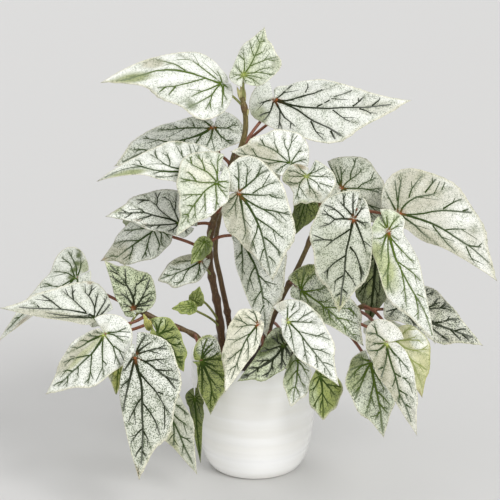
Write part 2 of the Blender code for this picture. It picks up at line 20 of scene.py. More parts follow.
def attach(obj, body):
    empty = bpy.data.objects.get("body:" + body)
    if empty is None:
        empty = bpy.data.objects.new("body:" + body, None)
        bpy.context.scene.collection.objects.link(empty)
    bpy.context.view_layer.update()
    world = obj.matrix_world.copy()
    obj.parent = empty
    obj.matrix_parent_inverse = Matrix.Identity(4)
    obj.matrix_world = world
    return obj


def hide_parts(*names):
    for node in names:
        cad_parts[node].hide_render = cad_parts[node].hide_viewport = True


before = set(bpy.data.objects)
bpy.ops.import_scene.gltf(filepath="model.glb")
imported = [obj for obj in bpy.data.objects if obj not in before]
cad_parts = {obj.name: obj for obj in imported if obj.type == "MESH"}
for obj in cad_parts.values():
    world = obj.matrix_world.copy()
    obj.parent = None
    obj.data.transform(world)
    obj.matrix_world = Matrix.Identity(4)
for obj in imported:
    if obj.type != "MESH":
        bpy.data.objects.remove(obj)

bl_info = {
    "name": "Potted Cane Begonia",
    "version": (1, 0, 0),
    "blender": (4, 5, 0),
    "location": "View3D > Sidebar > Begonia",
    "description": "Builds a cane begonia in a white glazed pot around its packed frame",
    "category": "Add Mesh",
}

# A leaf in its place: its cane, the share of the cane's length at its stalk, its joint, its flat
# form, the phase of its ripple, its matrix and its size in mm
Blade = namedtuple("Blade", "cane share joint leaf phase place scale")

MM = 0.001
WELD = 0.000002
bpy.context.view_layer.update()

# Shape of every blade, as in the frame's leaves. A START says how fast a form sets in beside the
# midrib
PLEATS = 16
PLEAT = 0.012
PLEAT_START = 8
TOOTH = 0.03
TOOTH_START = 6
RIPPLE = 0.014
RIPPLE_WAVES = 3.1
NOTCH_ANGLE = 175.0
TIP_SHARPNESS = 1.25
BACK_DROOP = 0.4
STRAIGHT = 0.0001
VEIN_SPREAD = 0.35
SEED = 7

# Stalks, as in the frame's canes, with a collar at each end
STALK_RADIUS = 1.35
STALK_TAPER = 0.15
STALK_STEPS = 14
STALK_SIDES = 12
STALK_START_PULL = 0.28
STALK_CANE_PULL = 0.6
STALK_END_PULL = (16.0, 0.4)
STALK_END_LIFT = (3.0, 0.1)
YOUNG_STALK = 0.75
CANE_COLLAR = 0.35
JOINT_COLLAR = 0.1
COLLAR_FALL = 12

# Stalks that go round something: the way they leave the cane and the side they reach the joint
ROUTES = {
    "leaf_upper_left": ((0, 14, 0), (0, 16, -14)),
    "leaf_right_back": ((6, 14, -2), (-6, 14, -12)),
    "leaf_front_left_white": ((0, -25, 4), (6, 14, -24)),
    "leaf_right_low": ((8, 14, -8), (-4, 12, -12)),
    "leaf_inner_shade": ((8, 22, -8), (-8, 14, 4)),
    "leaf_left_white": ((-6, -4, -8), (8, 8, -14)),
    "leaf_back_pot": ((-15, 45, 34), (0, -13, 15)),
    "leaf_yellow_bud": ((4, -2, -8), (0, 14, -6)),
    "leaf_left_front_big": ((-2, -8, -22), (2, 18, -8)),
    "leaf_left_front": ((-4, -8, -6), (6, 14, -6)),
    "leaf_pot_left_dark": ((12, -4, 2), (4, 14, 3)),
    "leaf_left_under": ((-4, -10, 4), (0, 14, 2)),
    "leaf_pot_left_green": ((0, -8, 6), (0, 12, 4)),
}

# Canes: steps between the points of their paths, and the knuckles where leaves grow or once grew.
# The skin is brown at the foot and on knuckles, and turns green along the cane
PATH_STEPS = 9
CANE_SIDES = 20
KNUCKLE = 0.42
KNUCKLE_LENGTH = 2.6
OLD_KNUCKLES = [0.12, 0.3]
KNUCKLE_BARK = 0.7
GREENING = 1.5
GREEN_START = 0.45

# Each cane stands upright in the soil at these heights. By name: its radius at the foot and at the
# top, its foot and its path from there
FOOT_HEIGHTS = (82, 104, 112)
CANES = {
    "cane_main": (4.0, 2.2, (-31, -6), (
        (-35, -7, 158), (-43, -8, 207), (-40, -8, 242), (-25, -9, 280), (-11, -10, 323),
        (-9, -10, 343), (-12, -12, 362))),
    "cane_back": (3.4, 1.9, (-22, 16), (
        (-27, 14, 150), (-33, 12, 182), (-38, 16, 215), (-30, 34, 262), (-20, 48, 300))),
    "cane_right": (3.4, 1.9, (6, -14), (
        (12, -16, 140), (24, -18, 172), (42, -10, 206), (56, -4, 240), (62, 2, 270))),
    "cane_low_right": (3.2, 1.9, (26, 8), (
        (36, 2, 126), (60, -8, 146), (84, -16, 158), (104, -19, 167))),
    "cane_low_left": (3.2, 1.8, (-34, -26), (
        (-42, -32, 128), (-60, -38, 146), (-88, -44, 160), (-118, -44, 176))),
}

# Leaves, by name: the cane and the share of its length where the stalk leaves it; joint; tip; the
# way the blade faces (degrees round from the viewer, degrees up); the reach of the margin along
# the four side veins to the right and to the left of the midrib, as shares of the midrib;
# then the turn of the notch, the droop of the tip, the fold of the halves and the midrib's bow
LEAVES = {
    "leaf_top": (
        "cane_main", 0.97, (-11, -20, 383), (8, -5, 424), (-5, 25),
        (0.8, 0.74, 0.38, 0.13), (0.58, 0.28, 0.27, 0.21), (20, 12, -0.05, 0.0)),
    "leaf_top_left": (
        "cane_main", 0.96, (-30, -12, 374), (-137, -30, 378), (-15, 30),
        (0.46, 0.28, 0.12, 0.07), (0.57, 0.41, 0.15, 0.08), (20, 26, -0.08, 0.1)),
    "leaf_top_right": (
        "cane_main", 0.82, (17, 8, 357), (141, -4, 358), (-4, 35),
        (0.55, 0.23, 0.2, 0.19), (0.62, 0.39, 0.15, 0.08), (-80, 22, -0.08, 0.055)),
    "leaf_upper_left": (
        "cane_main", 0.7, (-39, 15, 330), (-130, -4, 297), (-15, 40),
        (0.76, 0.35, 0.15, 0.07), (0.43, 0.27, 0.31, 0.22), (60, 20, -0.08, 0.0)),
    "leaf_left_hook": (
        "cane_main", 0.68, (-57, -50, 301), (-139, -64, 296), (-10, 35),
        (0.5, 0.38, 0.4, 0.45), (0.38, 0.21, 0.2, 0.2), (0, 30, -0.1, 0.085)),
    "leaf_front_green": (
        "cane_main", 0.64, (-34, -75, 297), (-69, -95, 254), (-10, 25),
        (0.68, 0.6, 0.66, 0.5), (0.54, 0.33, 0.2, 0.32), (20, 20, -0.06, 0.0)),
    "leaf_left_spotted": (
        "cane_main", 0.56, (-69, -35, 250), (-133, -60, 263), (-10, 40),
        (0.7, 0.52, 0.51, 0.28), (0.47, 0.23, 0.19, 0.22), (0, 20, -0.06, 0.04)),
    "leaf_left_lower": (
        "cane_main", 0.46, (-94, -12, 239), (-142, -32, 214), (-10, 30),
        (0.6, 0.36, 0.18, 0.2), (0.76, 0.5, 0.35, 0.27), (0, 20, -0.05, 0.0)),
    "leaf_upper_mid": (
        "cane_main", 0.74, (31, -44, 308), (-22, -56, 321), (10, 25),
        (0.74, 0.59, 0.52, 0.32), (0.5, 0.27, 0.2, 0.22), (0, 16, -0.05, 0.0)),
    "leaf_front_heart": (
        "cane_main", 0.6, (-15, -70, 287), (15, -85, 211), (0, 20),
        (0.6, 0.42, 0.24, 0.07), (0.76, 0.47, 0.4, 0.16), (65, 20, -0.06, 0.0)),
    "leaf_front_long": (
        "cane_main", 0.5, (-13, -46, 240), (10, -62, 150), (0, 15),
        (0.26, 0.1, 0.09, 0.12), (0.7, 0.46, 0.22, 0.18), (10, 16, -0.06, 0.03)),
    "leaf_small_left": (
        "cane_main", 0.38, (-50, -30, 213), (-90, -45, 199), (-5, 45),
        (0.67, 0.33, 0.12, 0.15), (0.81, 0.46, 0.2, 0.2), (0, 14, -0.04, 0.0)),
    "leaf_folded": (
        "cane_main", 0.54, (-46, -45, 236), (-59, -52, 216), (-15, 10),
        (0.6, 0.36, 0.26, 0.2), (0.7, 0.45, 0.3, 0.2), (0, 16, -0.2, 0.0)),
    "leaf_young": (
        "cane_main", 0.22, (-56, -35, 175), (-51, -42, 193), (-5, 25),
        (0.72, 0.5, 0.34, 0.22), (0.62, 0.42, 0.3, 0.2), (0, 14, -0.08, 0.0)),
    "leaf_young_low": (
        "cane_main", 0.2, (-57, -44, 174), (-77, -54, 175), (-5, 30),
        (0.6, 0.34, 0.22, 0.16), (0.66, 0.4, 0.26, 0.18), (0, 14, -0.08, 0.0)),
    "leaf_knob": (
        "cane_right", 0.95, (45, -52, 298), (33, -62, 273), (5, 25),
        (0.62, 0.74, 0.54, 0.25), (0.84, 0.94, 0.92, 0.6), (0, 20, -0.04, 0.0)),
    "leaf_olive": (
        "cane_right", 0.97, (46, -22, 269), (36, -24, 236), (15, 10),
        (0.59, 0.32, 0.2, 0.2), (0.67, 0.55, 0.3, 0.2), (0, 14, -0.08, 0.0)),
    "leaf_right_back": (
        "cane_right", 0.84, (81, 20, 271), (133, 6, 233), (15, 35),
        (0.58, 0.32, 0.26, 0.22), (0.78, 0.65, 0.65, 0.48), (-28, 20, -0.05, 0.0)),
    "leaf_centre_spotted": (
        "cane_right", 0.86, (86, -75, 265), (73, -95, 185), (5, 20),
        (0.72, 0.49, 0.36, 0.3), (0.64, 0.28, 0.18, 0.25), (-10, 18, -0.06, 0.0)),
    "leaf_right_big": (
        "cane_right", 0.9, (130, -30, 259), (220, -45, 199), (15, 35),
        (0.33, 0.14, 0.12, 0.12), (0.77, 0.59, 0.41, 0.14), (15, 24, -0.08, -0.03)),
    "leaf_right_tongue": (
        "cane_right", 0.78, (117, -70, 252), (158, -100, 158), (10, 15),
        (0.58, 0.22, 0.15, 0.15), (0.36, 0.13, 0.19, 0.2), (0, 20, -0.08, 0.0)),
    "leaf_mid_small": (
        "cane_right", 0.55, (41, -55, 193), (97, -75, 147), (5, 35),
        (0.42, 0.17, 0.14, 0.12), (0.78, 0.42, 0.38, 0.22), (0, 20, -0.06, 0.0)),
    "leaf_front_white": (
        "cane_right", 0.42, (28, -95, 177), (72, -125, 128), (5, 25),
        (0.51, 0.19, 0.08, 0.08), (0.65, 0.4, 0.32, 0.26), (10, 20, -0.06, 0.0)),
    "leaf_front_left_white": (
        "cane_right", 0.2, (2, -100, 176), (-27, -125, 121), (-5, 20),
        (0.64, 0.39, 0.29, 0.13), (0.35, 0.12, 0.08, 0.07), (0, 18, -0.06, 0.0)),
    "leaf_front_dark": (
        "cane_right", 0.28, (25, -88, 152), (-16, -102, 123), (-5, 35),
        (0.46, 0.34, 0.34, 0.19), (0.71, 0.39, 0.17, 0.2), (0, 18, -0.06, 0.0)),
    "leaf_inner_shade": (
        "cane_right", 0.76, (115, 8, 208), (110, 4, 142), (5, 12),
        (0.64, 0.26, 0.16, 0.14), (0.64, 0.26, 0.16, 0.14), (0, 12, -0.14, 0.0)),
    "leaf_right_low": (
        "cane_low_right", 0.96, (141, -14, 168), (212, -36, 133), (15, 35),
        (0.63, 0.27, 0.3, 0.22), (0.58, 0.39, 0.23, 0.19), (0, 22, -0.06, 0.0)),
    "leaf_pot_front": (
        "cane_low_right", 0.36, (37, -85, 137), (31, -105, 99), (0, 15),
        (0.58, 0.2, 0.14, 0.18), (0.75, 0.38, 0.18, 0.2), (0, 16, -0.06, 0.0)),
    "leaf_pot_right": (
        "cane_low_right", 0.44, (58, -80, 120), (61, -90, 80), (5, 15),
        (0.68, 0.28, 0.14, 0.18), (0.81, 0.58, 0.28, 0.22), (0, 14, -0.1, 0.0)),
    "leaf_right_front": (
        "cane_low_right", 0.9, (114, -110, 162), (140, -135, 86), (10, 20),
        (0.35, 0.22, 0.27, 0.19), (0.68, 0.42, 0.23, 0.1), (-100, 20, -0.06, 0.0)),
    "leaf_right_yellow": (
        "cane_low_right", 0.98, (125, -85, 156), (149, -95, 105), (10, 25),
        (0.36, 0.24, 0.22, 0.2), (0.73, 0.56, 0.33, 0.12), (0, 18, -0.06, 0.0)),
    "leaf_right_hanging": (
        "cane_low_right", 0.68, (102, -90, 137), (114, -110, 73), (10, 20),
        (0.69, 0.44, 0.24, 0.16), (0.62, 0.32, 0.24, 0.18), (0, 18, -0.06, 0.0)),
    "leaf_left_white": (
        "cane_low_left", 0.86, (-143, -70, 170), (-227, -80, 184), (-15, 45),
        (0.72, 0.52, 0.46, 0.23), (0.16, 0.09, 0.08, 0.08), (40, 18, -0.05, -0.02)),
    "leaf_left_far": (
        "cane_low_left", 0.8, (-166, -25, 196), (-238, -45, 140), (-25, 45),
        (0.48, 0.33, 0.42, 0.14), (0.28, 0.18, 0.16, 0.15), (0, 24, -0.05, 0.0)),
    "leaf_left_round": (
        "cane_low_left", 0.88, (-112, -54, 175), (-137, -48, 219), (-5, 30),
        (0.78, 0.67, 0.39, 0.1), (0.41, 0.2, 0.18, 0.16), (0, 14, -0.05, 0.0)),
    "leaf_left_front_big": (
        "cane_low_left", 0.74, (-105, -115, 152), (-101, -150, 51), (-5, 15),
        (0.32, 0.11, 0.08, 0.1), (0.71, 0.45, 0.29, 0.19), (0, 16, -0.06, 0.02)),
    "leaf_left_front": (
        "cane_low_left", 0.8, (-134, -90, 163), (-185, -110, 114), (-10, 25),
        (0.66, 0.4, 0.19, 0.1), (0.65, 0.42, 0.32, 0.24), (83, 20, -0.06, 0.0)),
    "leaf_left_green": (
        "cane_low_left", 0.66, (-87, -85, 161), (-64, -95, 128), (0, 15),
        (0.28, 0.22, 0.18, 0.2), (0.76, 0.49, 0.43, 0.37), (0, 16, -0.06, 0.0)),
    "leaf_left_under": (
        "cane_low_left", 0.62, (-82, -80, 101), (-54, -78, 22), (-5, 15),
        (0.52, 0.3, 0.24, 0.2), (0.46, 0.17, 0.18, 0.2), (0, 14, -0.06, 0.0)),
    "leaf_left_tip": (
        "cane_low_left", 0.9, (-122, -75, 141), (-126, -85, 102), (-5, 20),
        (0.6, 0.3, 0.28, 0.22), (0.52, 0.32, 0.28, 0.22), (0, 14, -0.06, 0.0)),
    "leaf_yellow_bud": (
        "cane_low_left", 0.84, (-96, -66, 160), (-101, -70, 176), (-5, 10),
        (0.5, 0.26, 0.2, 0.16), (0.46, 0.24, 0.18, 0.16), (0, 12, -0.1, 0.0)),
    "leaf_pot_left_dark": (
        "cane_low_left", 0.52, (-56, -62, 91), (-51, -70, 30), (-10, 5),
        (0.24, 0.15, 0.15, 0.15), (0.3, 0.15, 0.15, 0.15), (0, 12, -0.08, 0.0)),
    "leaf_pot_left_green": (
        "cane_low_left", 0.5, (-49, -72, 131), (-41, -80, 82), (0, 15),
        (0.59, 0.2, 0.12, 0.16), (0.67, 0.38, 0.48, 0.12), (80, 14, -0.1, 0.0)),
    "leaf_back_upper": (
        "cane_back", 0.97, (30, 60, 349), (84, 92, 354), (170, 40),
        (0.7, 0.42, 0.34, 0.2), (0.56, 0.3, 0.26, 0.18), (0, 22, -0.06, 0.0)),
    "leaf_back_middle": (
        "cane_back", 0.93, (6, 58, 290), (6, 92, 222), (185, 30),
        (0.58, 0.32, 0.28, 0.18), (0.72, 0.44, 0.36, 0.2), (0, 22, -0.06, 0.0)),
    "leaf_back_top_left": (
        "cane_back", 0.94, (-64, 52, 317), (-112, 78, 291), (200, 40),
        (0.56, 0.32, 0.28, 0.18), (0.7, 0.42, 0.34, 0.2), (0, 22, -0.06, 0.0)),
    "leaf_back_left": (
        "cane_back", 0.7, (-91, 30, 254), (-127, 58, 214), (205, 30),
        (0.6, 0.34, 0.28, 0.18), (0.72, 0.42, 0.34, 0.2), (0, 22, -0.06, 0.0)),
    "leaf_back_right": (
        "cane_right", 0.84, (91, 42, 263), (85, 72, 198), (170, 30),
        (0.72, 0.44, 0.36, 0.2), (0.58, 0.32, 0.28, 0.18), (0, 22, -0.06, 0.0)),
    "leaf_back_pot": (
        "cane_low_right", 0.3, (0, 85, 90), (7, 108, 16), (180, 20),
        (0.58, 0.32, 0.28, 0.18), (0.72, 0.44, 0.36, 0.2), (0, 20, -0.06, 0.0)),
    "leaf_back_low_right": (
        "cane_low_right", 0.76, (122, -5, 141), (127, 32, 84), (165, 25),
        (0.7, 0.44, 0.36, 0.2), (0.58, 0.32, 0.28, 0.18), (0, 20, -0.06, 0.0)),
}

# Fine form of the blades: the length that sizes are given for, the length below which a blade is
# small, the share of the faces that it then has, how the rows crowd to the margin, the margin's
# small teeth and soft waves, and how far the pattern is shifted from leaf to leaf. A RISE says how
# sharply a form grows to the margin
FULL_BLADE = 100.0
SMALL_BLADE = 46.0
SMALL_SHARE = 0.66
ROW_CROWDING = 0.8
FRINGE_TEETH = 52
FRINGE_RISE = 5
RUFFLES = 9
RUFFLE = 0.6
RUFFLE_RISE = 4
RUFFLE_START = 10
PATTERN_SHIFT = 9
PATTERN_SLANT = 0.7

# Veins from the table, which is in hundredths of the midrib: points to a stretch, the reach at
# which they end, how close to the joint those start that come from it, and the first and last
# width of the midrib, of the veins from the joint and of the others
HUNDREDTHS = 100
TRACED_STEPS = 3
TRACED_END = 0.94
JOINT_NEAR = 0.06
TRACED_WIDTHS = ((1.0, 0.6), (0.78, 0.54), (0.66, 0.48))

# Twigs, the short veins that fork off those: where on them, by how many degrees, first and last
# width, how far from other veins they stop, and their least and most length
TWIG_PARTS = (0.52, 0.78)
TWIG_SWING = 32.0
TWIG_WIDTHS = (0.42, 0.3)
TWIG_CLEAR = 0.04
TWIG_SPAN = (0.05, 0.17)

# Veins by rule, for the other leaves: a step and the most steps; widths, bends, swings in degrees
# and ends of the midrib, of the veins from the joint, of the midrib's branches and of their forks.
# LEAST is the fewest points of a vein that is kept or forked. HALVES gives, for the wide and the
# narrow half, the angles of the veins from the joint, and the starts and the angle of the branches
VEIN_STEP = 0.03
VEIN_STEPS = 40
MIDRIB_END = 0.955
MIDRIB_STEPS = 12
MIDRIB_WIDTHS = (1.2, 0.6)
HALVES = (((40, 74, 108, 144), (0.3, 0.54, 0.76), 36),
          ((31, 66, 104, 142), (0.42, 0.68), 27))
VEIN_SWAY = 3
VEIN_BEND = 0.22
VEIN_WIDTHS = (0.86, 0.82, 0.76, 0.7)
VEIN_LAST_WIDTH = 0.5
VEIN_ENDS = (0.84, 0.92)
FORK_SPANS = ((0.32, 0.44), (0.52, 0.64))
FORK_SWINGS = (-30, 30)
FORK_BEND = 0.1
FORK_WIDTH = 0.74
FORK_ENDS = (0.82, 0.9)
FORK_LEAST = 5
FORKED_LEAST = 6
BRANCH_SWAY = 0.02
BRANCH_BEND = 0.35
BRANCH_WIDTH = 0.86
BRANCH_FULL = 1.15
BRANCH_LAST_WIDTH = 0.42
VEIN_LEAST = 3
BRANCH_FORKED_LEAST = 10
BRANCH_FORK_SWING = 24
BRANCH_FORK_END = 0.93
BRANCH_FORK_WIDTHS = (0.55, 0.38)

# Ribs, which are the veins as they stand out, and the boss at the joint: points, sides, material
# and growth with the blade; how far a rib sinks and pales to its end; the boss's rings as a share
# of its radius and a face of the blade; and the small step that finds a blade's slope
RIB_POINTS = 9
MIDRIB_POINTS = 14
RIB_SIDES = 6
RIB_MATERIAL = 2
RIB_GROWTH = 0.4
RIB_SINK = 0.45
RIB_PALING = 0.18
RIB_JOINT_MIX = 0.8
BOSS_RADIUS = 1.35
BOSS_GROWTH = 0.5
BOSS_FLATNESS = 0.5
BOSS_SIDES = 12
BOSS_RINGS = ((0.0, 1), (0.45, 1), (0.8, 1), (1.0, -1), (0.8, -1), (0.0, -1))
PROBE = 0.01

# Paint of a blade: its cloudy ground, the washes over it, the green glow and the dark halo round
# the veins, the joint's colour (all three in mm), the pale rim and how much the speckles show.
# FAR is the gap before a vein is measured, and TINY the least length of a stretch
CLOUD_SCALE = 5
CLOUD = 0.4
WASH_SCALE = 14
WASH_SHIFT = 9
WASH_FILL = 1.5
VEIN_GLOW = 1.8
VEIN_GLOW_MIX = 0.22
VEIN_HALO = 1.0
VEIN_HALO_MIX = 0.3
JOINT_GLOW = 2.4
JOINT_MIX = 0.6
RIM_START = 0.955
RIM_WIDTH = 0.045
RIM_MIX = 0.8
SPECKLE_OPEN = 0.75
SPECKLE_BY_VEIN = 0.5
SPECKLE_RIM_LOSS = 0.7
FAR = 1e9
TINY = 1e-9

# Scale of the patterns on a blade, where 1 is 100 mm, how far the grain bends the veinlets, the
# share of yellow in gold, and the depth of each relief in metres
GOLD_MIX = 0.35
SPECKLE_SCALE = 92.0
PATCH_SCALE = 13.0
GRAIN_SCALE = 110.0
VEINLET_SCALE = 27.0
VEINLET_WOBBLE = 0.018
LEAF_RELIEF = 0.0004
BACK_RELIEF = 0.0005
CANE_RELIEF = 0.0003

# Patterns on a blade: the span of a noise that is used; how large a speckle is, what its mask adds
# to that and its soft edge; the spans of blotches and grain; and the veinlets. A DEPTH is what a
# mask adds to the strength and what is there without it, and a RISE is a share of the relief
NOISE_SPAN = (0.3, 0.7)
SPECKLE_SIZES = (0.19, 0.40)
SPECKLE_GROWTH = 0.2
SPECKLE_EDGE = (-0.04, 0.07)
SPECKLE_DEPTH = (0.45, 0.5)
BLOTCH_SPAN = (0.42, 0.72)
BLOTCH_TONE = (0.72, 0.80, 0.62)
GRAIN_TONES = (0.90, 1.06)
VEINLET_WIDTH = 0.11
VEINLET_DEPTH = (1.4, 0.35)
VEINLET_MOST = 0.9
VEINLET_RISE = -0.6
VEIN_RISE = -0.9
GRAIN_RISE = 0.35

# Patterns on canes and stalks: streaks along them, and pale flecks with a soft edge
STREAK_SCALE = 900.0
STREAK_STRETCH = (1.0, 1.0, 0.22)
STREAK_SPAN = (0.35, 0.68)
STREAK_TONE = (0.55, 0.50, 0.45)
FLECK_SCALE = 420.0
FLECK_EDGE = (0.10, 0.20)
FLECK_MIX = 0.55
FLECK_COLOUR = (0.42, 0.33, 0.18, 1.0)

